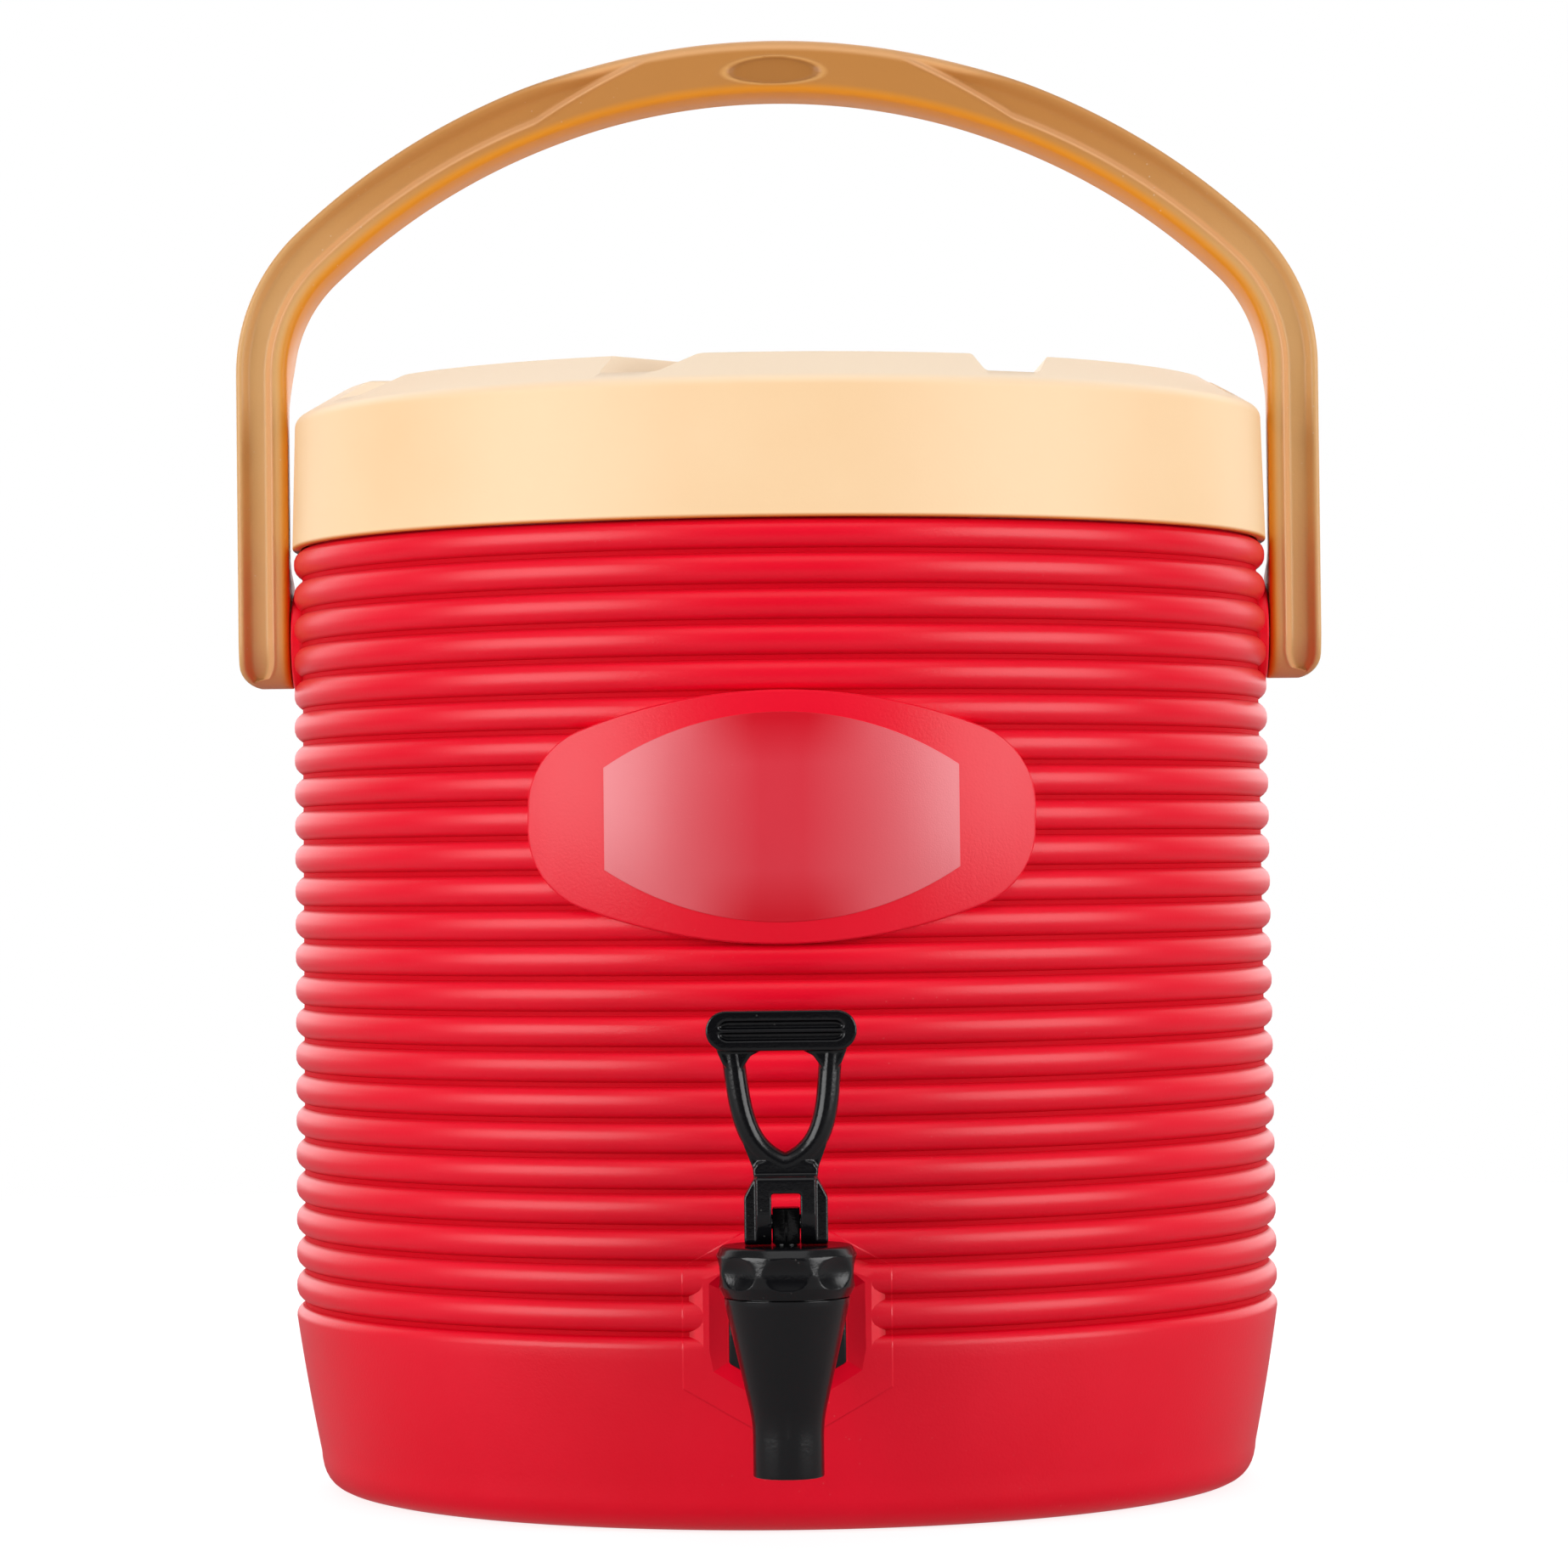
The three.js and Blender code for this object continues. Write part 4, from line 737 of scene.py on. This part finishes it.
def make_label():
    half_width, half_height, side = 50.5, 29.7, 14.5
    rise = half_height - side
    radius = (half_width ** 2 + rise ** 2) / (2 * rise)
    angle = acos(half_width / radius)
    drop = radius - half_height
    outline = []
    for sign, start in ((-1, angle), (1, pi + angle)):
        sweep = pi - 2 * angle
        for index in range(33):
            turn = start + sweep * index / 32
            outline.append((radius * cos(turn), PAD_CENTRE + sign * drop + radius * sin(turn)))
    bm = wrapped_patch(outline, PAD_RADIUS - 0.3, PAD_RADIUS + 0.22, 0.12)
    finished("blank_label", bm, label_film, "barrel", ["front_label"])


def make_base_plate():
    profile = softened([(0.0, 0.6), (96.0, 0.6, 1.0), (97.2, 0.0, 1.0), (119.7, 0.0, 0.5), (119.7, 3.3),
                        (126.0, 3.3), (126.0, 5.5), (0.0, 5.5)])
    finished("base_plate", spun(profile, BARREL_SEGMENTS), red_plastic, "barrel",
             ["base_cover"])


# ---- lid

def make_lid():
    """The cap, with a sunk hub and eight channels that run off it in a pinwheel."""
    top_radius, channel_turn = 134.5, 28.0
    cap = spun(softened([
        (0.0, LID_TOP - 9.5), (141.2, LID_TOP - 9.5), (141.2, LID_LEDGE), (147.7, LID_LEDGE),
        (147.7, LID_BOTTOM, 0.5), (LID_RADIUS, LID_BOTTOM, 0.7), (149.4, LID_SIDE_TOP, 3.6),
        (top_radius, LID_TOP, 5.0), (0.0, LID_TOP),
    ], 7), 256)
    floor, lip, clear = LID_TOP - 6.0, LID_TOP + 0.02, LID_TOP + 4.0
    channels = [spun(softened([(0.0, floor), (63.6, floor, 2.0), (67.0, lip, 1.8), (74.0, lip),
                               (74.0, clear), (0.0, clear)]), 96)]
    section = softened([(-19.0, clear), (-19.0, lip), (-11.4, lip, 1.8), (-8.0, floor, 2.0),
                        (8.0, floor, 2.0), (11.4, lip, 1.8), (19.0, lip), (19.0, clear)])
    for index in range(8):
        trough = drawn_out(section, 0.0, 160.0, "X")
        moved(trough, y=top_radius * sin(radians(channel_turn)))
        channels.append(turned(trough, 30.0 - 90.0 + index * 45.0 - channel_turn))
    finished("screw_lid", shaped(cap, channels), cream_plastic, "lid",
             ["lid_shell"], 30.0, True)


# ---- bail

def arch_corner(line):
    corner_x = line["half"] - line["corner"]
    rise = sqrt((line["radius"] - line["corner"]) ** 2 - corner_x ** 2)
    return corner_x, ARCH_CENTRE + rise, atan2(rise, corner_x)


def arch_point(line, stage, share):
    """A point of one arch line: up the leg, round the corner, then over to the middle."""
    corner_x, corner_z, angle = arch_corner(line)
    if stage == "leg":
        return line["half"], PIVOT_HEIGHT + (corner_z - PIVOT_HEIGHT) * share
    if stage == "corner":
        turn = angle * share
        return corner_x + line["corner"] * cos(turn), corner_z + line["corner"] * sin(turn)
    turn = angle + (pi / 2 - angle) * share
    return line["radius"] * cos(turn), ARCH_CENTRE + line["radius"] * sin(turn)


def beyond(line, place):
    """How far a place on the bail lies outside one arch line, seen from the front."""
    corner_x, corner_z, angle = arch_corner(line)
    x, z = abs(place.x), place.z
    if z < corner_z:
        return x - line["half"]
    if atan2(z - ARCH_CENTRE, x) < angle:
        return hypot(x - corner_x, z - corner_z) - line["corner"]
    return hypot(x, z - ARCH_CENTRE) - line["radius"]


def round_drop(radius, inset):
    """How far a rounded edge lies below its face, at a distance in from the edge."""
    return radius - sqrt(max(radius ** 2 - (radius - inset) ** 2, 0.0))


def bail_stations():
    """Pairs of inner and outer points with the half depth there, from the right foot to the left."""
    half = []
    for step in range(1, 13):
        angle = step / 12 * pi / 2
        z = PIVOT_HEIGHT - HANDLE_HALF_DEPTH * cos(angle)
        depth = HANDLE_HALF_DEPTH * sin(angle)
        above = z - HANDLE_FOOT
        cut = round_drop(7.0, above) if above < 7.0 else 0.0
        half.append(((HANDLE_INNER, z), (HANDLE_OUTER - cut, z), depth))
    for stage, count in (("leg", 22), ("corner", 26), ("arch", 100)):
        for step in range(1, count + 1):
            half.append((arch_point(INNER_ARCH, stage, step / count),
                         arch_point(OUTER_ARCH, stage, step / count), HANDLE_HALF_DEPTH))
    left = [((-inner[0], inner[1]), (-outer[0], outer[1]), depth) for inner, outer, depth in half[-2::-1]]
    return half + left


def smooth_step(value, low, high):
    t = min(max((value - low) / (high - low), 0.0), 1.0)
    return t * t * (3 - 2 * t)


def grip_share(x, z):
    """How much of the grip's fuller rounding there is at a place: none on the legs."""
    return smooth_step(78.0 - x, 0.0, 26.0) if z > GRIP_BASE else 0.0


def channel_lip(x, z, above, rim):
    """How far from the bail's inner side its channel starts. It is the rim where there is none."""
    lip = 4.9
    if above < 9.0:
        lip += 5.2 * (1 - sqrt(max(1 - ((9.0 - above) / 7.6) ** 2, 0.0)))
    if above < 2.6:
        lip = rim
    if z > GRIP_BASE:
        slant = smooth_step(74.0 - x, -2.0, 2.0) * max(74.0 - x, 0.0) / 37.5
        lip += (rim - lip) * min(slant, 1.0)
    return min(lip, rim)


def bail_section(inner, outer, depth):
    """The bail's cross-section at a station: its roundings and where its channel runs."""
    thickness = dist(inner, outer)
    x, z = (abs(inner[0]) + abs(outer[0])) / 2, (inner[1] + outer[1]) / 2
    above = min(inner[1], outer[1]) - HANDLE_FOOT
    grip = grip_share(x, z)
    inner_round = min(2.0 + grip, thickness * 0.3, depth * 0.6)
    outer_round = min(1.3 + 2.7 * grip, thickness * 0.3, depth * 0.6)
    rim = thickness - OUTER_RIM
    return thickness, depth, inner_round, outer_round, channel_lip(x, z, above, rim), rim, x, z


def bail_columns(section):
    """Places across the bail, close together at its roundings and the channel's walls."""
    thickness, _, inner_round, outer_round, lip, rim = section[:6]
    middle = (lip + rim) / 2
    marks = (inner_round, lip - 1.2, lip - LIP_EASE, min(lip + CHANNEL_WALL, middle),
             max(rim + LIP_EASE - OUTER_WALL, middle), rim + LIP_EASE, thickness - outer_round, thickness)
    places, reached = [0.0], 0.0
    for mark, count in zip(marks, (6, 26, 4, 8, 8, 6, 2, 7)):
        mark = min(max(mark, reached), thickness)
        places += [reached + (mark - reached) * step / count for step in range(1, count + 1)]
        reached = mark
    return places


def bail_face_drop(u, section, front):
    """How far the bail's front or back face lies below its full depth at u from the inner side."""
    thickness, depth, inner_round, outer_round, lip, rim, x, z = section
    drop = 0.0
    if u < inner_round:
        drop = round_drop(inner_round, u)
    if u > thickness - outer_round:
        drop = round_drop(outer_round, thickness - u)
    if rim - lip > 0.4:
        opening = min((rim - lip) / 1.8, 1.0)
        outer_wall = OUTER_WALL + 1.6 * smooth_step(z, 385.0, 415.0)
        inside = (smooth_step(u, lip - LIP_EASE, lip + CHANNEL_WALL)
                  * smooth_step(rim + LIP_EASE - u, 0.0, outer_wall))
        sag = 0.35 * sin(pi * min(max((u - lip) / (rim - lip), 0.0), 1.0))
        drop += (min(2.3, depth * 0.3) + sag) * inside * opening
        bead = 0.5 if z > GRIP_BASE and x < 76.0 else 0.3
        bead *= exp(-((u - lip + 0.2) / 0.7) ** 2)
        drop -= bead * opening * min(depth / HANDLE_HALF_DEPTH, 1.0)
    if front and z > 400.0:
        across = (u - thickness / 2 + OVAL_BELOW_MIDDLE) / OVAL_HALF_HEIGHT
        spread = hypot(x / OVAL_HALF_LENGTH, across)
        drop += 0.9 * smooth_step(0.98 - spread, 0.0, 0.09)
        drop -= 0.4 * smooth_step(1.13 - spread, 0.0, 0.07) * smooth_step(spread, 0.92, 0.99)
    return drop


def make_bail():
    """The bail, swept through its stations and bored at the pivots. Three attributes tell the
    finish where its edges and its channels' inner walls are, for painted highlights and shade."""
    stations = bail_stations()
    sections = [bail_section(*station) for station in stations]
    places = [bail_columns(section) for section in sections]
    columns = 2 * len(places[0])

    def skin(column, row):
        inner, outer, depth = stations[row]
        front = column < len(places[0])
        u = places[row][column if front else columns - 1 - column]
        share = u / dist(inner, outer)
        y = depth - bail_face_drop(u, sections[row], front)
        on_leg = smooth_step(inner[1], 273.0, 286.0) * smooth_step(348.0 - inner[1], 0.0, 16.0)
        lean = on_leg * (1 - share)
        back = 0.0 if front else y + HANDLE_HALF_DEPTH
        return (inner[0] + (outer[0] - inner[0]) * share + copysign(0.063 * lean * back, inner[0]),
                -y if front else y, inner[1] + (outer[1] - inner[1]) * share)

    bores = [rod(radius, *sorted((side * near, side * far)), PIVOT_HEIGHT) for side in (-1, 1)
             for radius, near, far in ((6.3, 140.0, 180.0), (9.3, 140.0, HANDLE_INNER + 1.6),
                                       (8.1, HANDLE_OUTER - SCREW_SINK, 180.0))]
    bm = shaped(lofted(columns, len(stations), skin), bores)
    # Masks for painted light: highlights on the outer edge and the channels' walls, shade on the inner
    # edge.
    inner_edge, outer_edge, lit_wall = (bm.verts.layers.float.new(name)
                                        for name in ("inner edge", "outer edge", "channel wall"))
    for vert in bm.verts:
        x, z = abs(vert.co.x), vert.co.z
        u, outward = beyond(INNER_ARCH, vert.co), beyond(OUTER_ARCH, vert.co)
        grip = grip_share(x, z)
        rim = u - outward - OUTER_RIM
        lip = channel_lip(x, z, z - HANDLE_FOOT, rim)
        vert[inner_edge] = 1.0 - smooth_step(u, 0.5, 3.6)
        vert[outer_edge] = (0.3 + 0.7 * grip) * smooth_step(outward, -2.0 - 2.0 * grip, -0.8 - 1.6 * grip)
        vert[lit_wall] = (smooth_step(u, lip - 0.9, lip - LIP_EASE) * smooth_step(lip + 2.1 - u, 0.0, 0.9)
                          * min(max(rim - lip, 0.0) / 1.8, 1.0))
    finished("bail", bm, tan_plastic, "handle", ["bail_handle"], 80.0)


def on_pivot(profile, side):
    """A profile spun about Z and laid along X at the pivot, pointing away from the barrel."""
    return moved(turned(spun(profile, 40), 90.0 * side, "Y"), z=PIVOT_HEIGHT)


def make_pivots():
    seat = HANDLE_OUTER - SCREW_SINK
    bush = softened([(4.1, 150.9), (9.0, 150.9, 0.3), (9.0, 152.5, 0.3), (6.0, 152.5),
                     (6.0, seat), (4.1, seat)])
    washer = softened([(4.1, seat + 0.3, 0.1), (7.8, seat + 0.3, 0.3), (7.8, seat + 1.6, 0.3),
                       (4.1, seat + 1.6, 0.1)])
    head = seat + 1.9
    screw = softened([(0.0, 137.5), (3.2, 137.5), (3.8, 138.3), (3.8, head), (7.0, head, 0.2),
                      (7.0, head + 1.7, 0.9), (4.4, head + 2.8, 1.2), (2.6, head + 2.8, 0.3),
                      (2.4, head + 1.2), (0.0, head + 1.2)])
    for side, word in ((-1, "left"), (1, "right")):
        finished(f"pivot_bush_{word}", on_pivot(bush, side), white_plastic, "handle",
                 [f"handle_bush_{word}"])
        for part, profile in (("washer", washer), ("screw", screw)):
            finished(f"pivot_{part}_{word}", on_pivot(profile, side), steel, "barrel",
                     [f"handle_{part}_{word}"])


# ---- tap

def on_tap(name, bm, body, replaced, sharp=32.0):
    """A black piece that was drawn round the spout's axis."""
    return finished(name, moved(bm, y=-TAP_REACH), black_plastic, body, replaced, sharp)


def make_tap_body():
    """The cone with its shank. It lets lamp light by, as the pocket's walls are bright in the photo."""
    outer = [(9.8, 20.9, 0.6), (9.8, 36.0, 40.0), (17.2, 68.6, 0.8), (17.4, 70.2, 0.2)]
    profile = softened([(7.7, 20.9, 0.4), *outer, (15.0, 70.2), (15.0, 79.2), (12.4, 79.2), (12.4, 50.0),
                        (6.8, 50.0), (6.8, 46.0), (7.7, 42.0)], 8)
    bm = spun(profile, 96)
    for vert in bm.verts:
        if abs(vert.co.x) < 0.01 and 24.0 < vert.co.z < 68.5 and abs(vert.co.y) > 9.0:
            vert.co.y *= 1 + 0.24 / abs(vert.co.y)
    shank = rod(8.0, 2.0, 73.0, SHANK_HEIGHT, "Y", 48, 0.8)
    bore = rod(4.5, 0.0, 80.0, SHANK_HEIGHT, "Y", 32)
    hollow = spun([(0.0, 50.0), (12.4, 50.0), (12.4, 85.0), (0.0, 85.0)], 96)
    bm = shaped(bm, [bore, hollow], [shank])
    on_tap("spout_body", bm, "barrel", ["tap_body"], 30.0).visible_shadow = False


def make_bonnet():
    outer = softened([(17.4, 70.5, 0.25), (19.0, 73.4, 2.0), (19.5, 77.0, 8.0), (19.45, 82.0, 2.0),
                      (18.0, 84.6, 1.6), (3.3, 84.6), (3.3, 81.4), (15.3, 81.4), (15.3, 70.5)], 6)
    wall = []
    for first, last in zip(outer, outer[1:] + outer[:1]):
        pieces = max(int(dist(first, last) / 0.5), 1) if min(first[0], last[0]) > 17.0 else 1
        for index in range(pieces):
            t = index / pieces
            wall.append((first[0] + (last[0] - first[0]) * t, first[1] + (last[1] - first[1]) * t))
    bm = spun(wall, 216)
    for vert in bm.verts:
        radius = hypot(vert.co.x, vert.co.y)
        if radius < 16.5:
            continue
        turn = atan2(vert.co.x, -vert.co.y)
        nearest = round(turn / (tau / 8)) * tau / 8
        across = 19.5 * (turn - nearest) / 6.5
        up = (vert.co.z - 77.5) / 4.6
        spread = across ** 2 + up ** 2
        if spread < 1.0:
            shrink = (radius - 1.6 * (1 - spread)) / radius
            vert.co.x, vert.co.y = vert.co.x * shrink, vert.co.y * shrink
    on_tap("bonnet", bm, "barrel", ["tap_bonnet"], 34.0)


def cam_side():
    """Side line of the clevis: cam-shaped feet below, square above."""
    rise, rest = 4.0 / radians(75.0), PIN_HEIGHT - STEM_CAP
    line = []
    for index in range(25):
        tilt = pi / 2 * index / 24
        reach = rest + rise * tilt
        line.append((-reach * sin(tilt) - rise * cos(tilt),
                     PIN_HEIGHT - reach * cos(tilt) + rise * sin(tilt)))
    return line + [(line[-1][0], 104.6), (8.0, 104.6), (8.0, STEM_CAP)]


def tube(path, half_width, half_depth):
    """An oval rod whose centre follows points (x, z)."""
    smooth = []
    for index in range(len(path) - 1):
        before, first = Vector(path[max(index - 1, 0)]), Vector(path[index])
        last, after = Vector(path[index + 1]), Vector(path[min(index + 2, len(path) - 1)])
        for step in range(5):
            t = step / 5
            smooth.append(0.5 * (2 * first + (last - before) * t
                                 + (2 * before - 5 * first + 4 * last - after) * t ** 2
                                 + (3 * first - before - 3 * last + after) * t ** 3))
    smooth.append(Vector(path[-1]))
    segments = 28

    def skin(column, row):
        turn = column / segments * tau
        way = smooth[min(row + 1, len(smooth) - 1)] - smooth[max(row - 1, 0)]
        aside = Vector((-way.y, way.x)).normalized() * half_width * cos(turn)
        return smooth[row].x + aside.x, half_depth * sin(turn), smooth[row].y + aside.y

    return lofted(segments, len(smooth), skin)


def stadium(half_width, low, high):
    """A bar's outline with half-round ends."""
    radius = (high - low) / 2 - 0.01
    return softened([(-half_width, low, radius), (half_width, low, radius), (half_width, high, radius),
                     (-half_width, high, radius)], 10)


def make_lever():
    """Bar, loop, webs, neck and clevis, moulded into one skin and leant back a little at the top."""
    side = [(14.3, 143.0), (13.7, 138.0), (13.2, 134.2), (12.7, 129.3), (12.05, 124.3), (11.0, 119.4),
            (9.3, 114.8), (7.0, 111.4), (3.8, 108.6)]
    loop = tube([(-x, z) for x, z in side] + [(0.0, 107.0)] + side[::-1], 3.15, 3.7)
    bar = eased(drawn_out(stadium(20.8, 138.2, 149.2), -6.0, 6.0), 1.7, 4)
    groove = shaped(drawn_out(stadium(17.4, 141.0, 146.4), -9.0, -4.2),
                    [brick((-30, 30), (-10, -4), (143.2, 144.2))])
    bar = shaped(bar, [groove])
    web = [(18.6, 141.0), (17.8, 138.0), (16.4, 134.6), (12.6, 131.0), (10.2, 134.4), (8.6, 136.7),
           (6.2, 137.9), (6.2, 141.0)]
    webs = [drawn_out([(sign * x, z) for x, z in web], -3.2, 3.2) for sign in (-1, 1)]
    wide = [(8.8, 103.0), (9.2, 106.3), (10.2, 108.9), (11.2, 111.5), (11.6, 113.0), (9.5, 113.2),
            (6.5, 109.6), (2.0, 107.2)]
    thick = [(8.8, 103.0), (9.0, 105.6), (7.4, 107.6), (3.8, 107.6)]
    neck = [drawn_out(half + [(-x, z) for x, z in half[::-1]], -depth, depth)
            for half, depth in ((wide, 1.9), (thick, 3.6))]
    front_view = [(-11.5, 84.0), (11.5, 84.0), (11.5, 98.0), (8.3, 103.9), (-8.3, 103.9), (-11.5, 98.0)]
    clevis = shaped(drawn_out(cam_side(), -11.5, 11.5, "X"), within=[drawn_out(front_view, -30.0, 30.0)])
    clevis = shaped(clevis, [brick((8.2, 20.0), (-20.0, -6.4), (80.0, 110.0)),
                             brick((-20.0, -8.2), (-20.0, -6.4), (80.0, 110.0)),
                             brick((-4.0, 4.0), (-20.0, 20.0), (80.0, 99.3)),
                             brick((-9.0, 9.0), (-20.0, -10.3), (103.2, 104.1))])
    bm = melted(put_together(loop, bar, clevis, *neck, *webs), 0.36, 3)
    for vert in bm.verts:
        vert.co.x -= 0.8 * smooth_step(vert.co.z, 104.0, 146.0)
    bm = shaped(bm, [rod(2.3, -15.0, 15.0, PIN_HEIGHT, "X", 32)])
    on_tap("lever", bm, "lever", ["tap_lever"], 60.0)


def make_stem():
    head = eased(brick((-3.8, 3.8), (-4.0, 4.0), (STEM_CAP + 0.1, 94.9)), 0.5)
    rib = eased(brick((-0.45, 0.45), (-4.35, -3.0), (STEM_CAP + 1.0, 94.4)), 0.2, 2)
    stem = spun([(0.0, 53.0), (2.6, 53.0), (3.0, 53.4), (3.0, 88.0), (0.0, 88.0)], 32)
    bm = shaped(head, [rod(2.3, -9.0, 9.0, PIN_HEIGHT, "X", 32)], [stem, rib])
    on_tap("valve_stem", bm, "stem", ["tap_stem"])
    pin = rod(2.0, -11.2, 11.2, PIN_HEIGHT, "X", 32, 0.25)
    finished("cross_pin", moved(pin, y=-TAP_REACH), steel, "stem", ["lever_pin"])


def hex_nut(across, near, far):
    blank = eased(hexagon_taper(across, across, far, near), 0.7)
    return shaped(blank, [rod(8.3, near - 5.0, far + 5.0, SHANK_HEIGHT, "Y")])


def make_nuts():
    """Both nuts. The front one lets lamp light by, like the cone."""
    nut = finished("front_nut", hex_nut(33.0, -153.6, -146.6), black_plastic, "barrel",
                   ["tap_outer_nut"])
    nut.visible_shadow = False
    finished("back_nut", hex_nut(25.0, -124.7, -118.7), black_plastic, "barrel",
             ["tap_locknut"])


make_shell()
make_label()
make_base_plate()
make_lid()
make_bail()
make_pivots()
make_tap_body()
make_bonnet()
make_lever()
make_stem()
make_nuts()

CARRIED_OVER = {
    "rim_collar": red_plastic,
    "inner_liner": steel,
    "foam_jacket": foam,
    "lid_inner_cover": white_plastic,
    "lid_foam": foam,
    "lid_gasket": silicone,
    "seat_cup": silicone,
    "tap_spring": steel,
    "tap_outer_gasket": rubber,
    "tap_inner_gasket": silicone,
}
for node_name, finish in CARRIED_OVER.items():
    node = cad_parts[node_name]
    if not node.material_slots:
        node.data.materials.append(finish)
    for place in node.material_slots:
        place.material = finish


# ---- studio

def one_or_other(tree, factor, first, second, end):
    """Shows the second shader where the factor is one, and the first elsewhere."""
    choice = tree.nodes.new("ShaderNodeMixShader")
    for target, source in zip(choice.inputs, (factor, first.outputs[0], second.outputs[0])):
        link(tree, source, target)
    link(tree, choice.outputs[0], end.inputs["Surface"])


def make_floor():
    """A white floor that throws back less light than the camera sees of it, clear from below."""
    bm = bmesh.new()
    bmesh.ops.create_circle(bm, cap_ends=True, segments=96, radius=1500.0)
    moved(bm, z=-0.2)
    bmesh.ops.scale(bm, vec=(MM, MM, MM), verts=bm.verts)
    floor = laid_out(bm, "studio_floor")
    material, tree, shader = new_material("studio floor")
    shader.inputs["Roughness"].default_value = 0.9
    shader.inputs["Specular IOR Level"].default_value = 0.1
    shader.inputs["Emission Strength"].default_value = 1.0
    path = tree.nodes.new("ShaderNodeLightPath")
    seen = path.outputs["Is Camera Ray"]
    # Painted light: close to the floor, rays that are not the camera's see it glow grey, which lights the
    # barrel's foot from below.
    underside_glow = mixed(tree, ranged(tree, path.outputs["Ray Length"], 0.001, 0.008, 1.0, 0.0),
                       (0.0, 0.0, 0.0), (0.3, 0.3, 0.3))
    link(tree, mixed(tree, seen, (0.36, 0.36, 0.36), (0.3, 0.3, 0.3)), shader.inputs["Base Color"])
    link(tree, mixed(tree, seen, underside_glow, (0.82, 0.82, 0.82)), shader.inputs["Emission Color"])
    from_below = tree.nodes.new("ShaderNodeNewGeometry").outputs["Backfacing"]
    clear = tree.nodes.new("ShaderNodeBsdfTransparent")
    one_or_other(tree, from_below, shader, clear, tree.nodes["Material Output"])
    floor.data.materials.append(material)


def make_world():
    """White behind the barrel, dim in front of it."""
    world = bpy.data.worlds.new("studio")
    bpy.context.scene.world = world
    world.use_nodes = True
    tree = world.node_tree
    seen, lighting = tree.nodes["Background"], tree.nodes.new("ShaderNodeBackground")
    for background in (seen, lighting):
        feed(tree, background.inputs["Color"], (1.0, 1.0, 1.0))
    sky = tree.nodes.new("ShaderNodeTexCoord").outputs["Generated"]
    way = fed_node(tree, "SeparateXYZ", Vector=sky).outputs
    behind = ranged(tree, way["Y"], 0.25, 0.85, WORLD_FRONT, WORLD_BACK)
    above = ranged(tree, way["Z"], 0.2, 0.9, 0.0, WORLD_ABOVE)
    below = ranged(tree, way["Z"], -0.03, 0.05, 0.35, 1.0)
    strength = product(tree, maths(tree, "ADD", behind, above), below)
    link(tree, strength, lighting.inputs["Strength"])
    to_camera = tree.nodes.new("ShaderNodeLightPath").outputs["Is Camera Ray"]
    one_or_other(tree, to_camera, lighting, seen, tree.nodes["World Output"])


def make_lamps():
    aim = Vector((0.0, 0.0, 0.19))
    for name, azimuth, elevation, distance, width, height, power in SOFTBOXES:
        light = bpy.data.lights.new(name, "AREA")
        light.shape = "RECTANGLE"
        light.size, light.size_y = width, height
        light.energy = power
        turn, lift = radians(azimuth), radians(elevation)
        way = Vector((sin(turn) * cos(lift), -cos(turn) * cos(lift), sin(lift)))
        lamp = put_in_scene(name, light)
        lamp.location = aim + way * distance
        lamp.rotation_euler = way.to_track_quat("Z", "Y").to_euler()


def make_camera():
    lens = bpy.data.cameras.new("camera")
    lens.sensor_width = 36.0
    lens.lens = lens.sensor_width * FOCAL_PIXELS / PHOTO_PIXELS
    camera = put_in_scene("camera", lens)
    camera.location = Vector((0.75, -1650.0, 189.0)) * MM
    tilt = Matrix.Rotation(radians(90.88), 3, "X")
    roll = Matrix.Rotation(radians(-0.64), 3, "Z")
    camera.rotation_euler = (tilt @ roll).to_euler()
    bpy.context.scene.camera = camera


make_floor()
make_world()
make_lamps()
make_camera()
bpy.context.scene.view_settings.view_transform = "Standard"
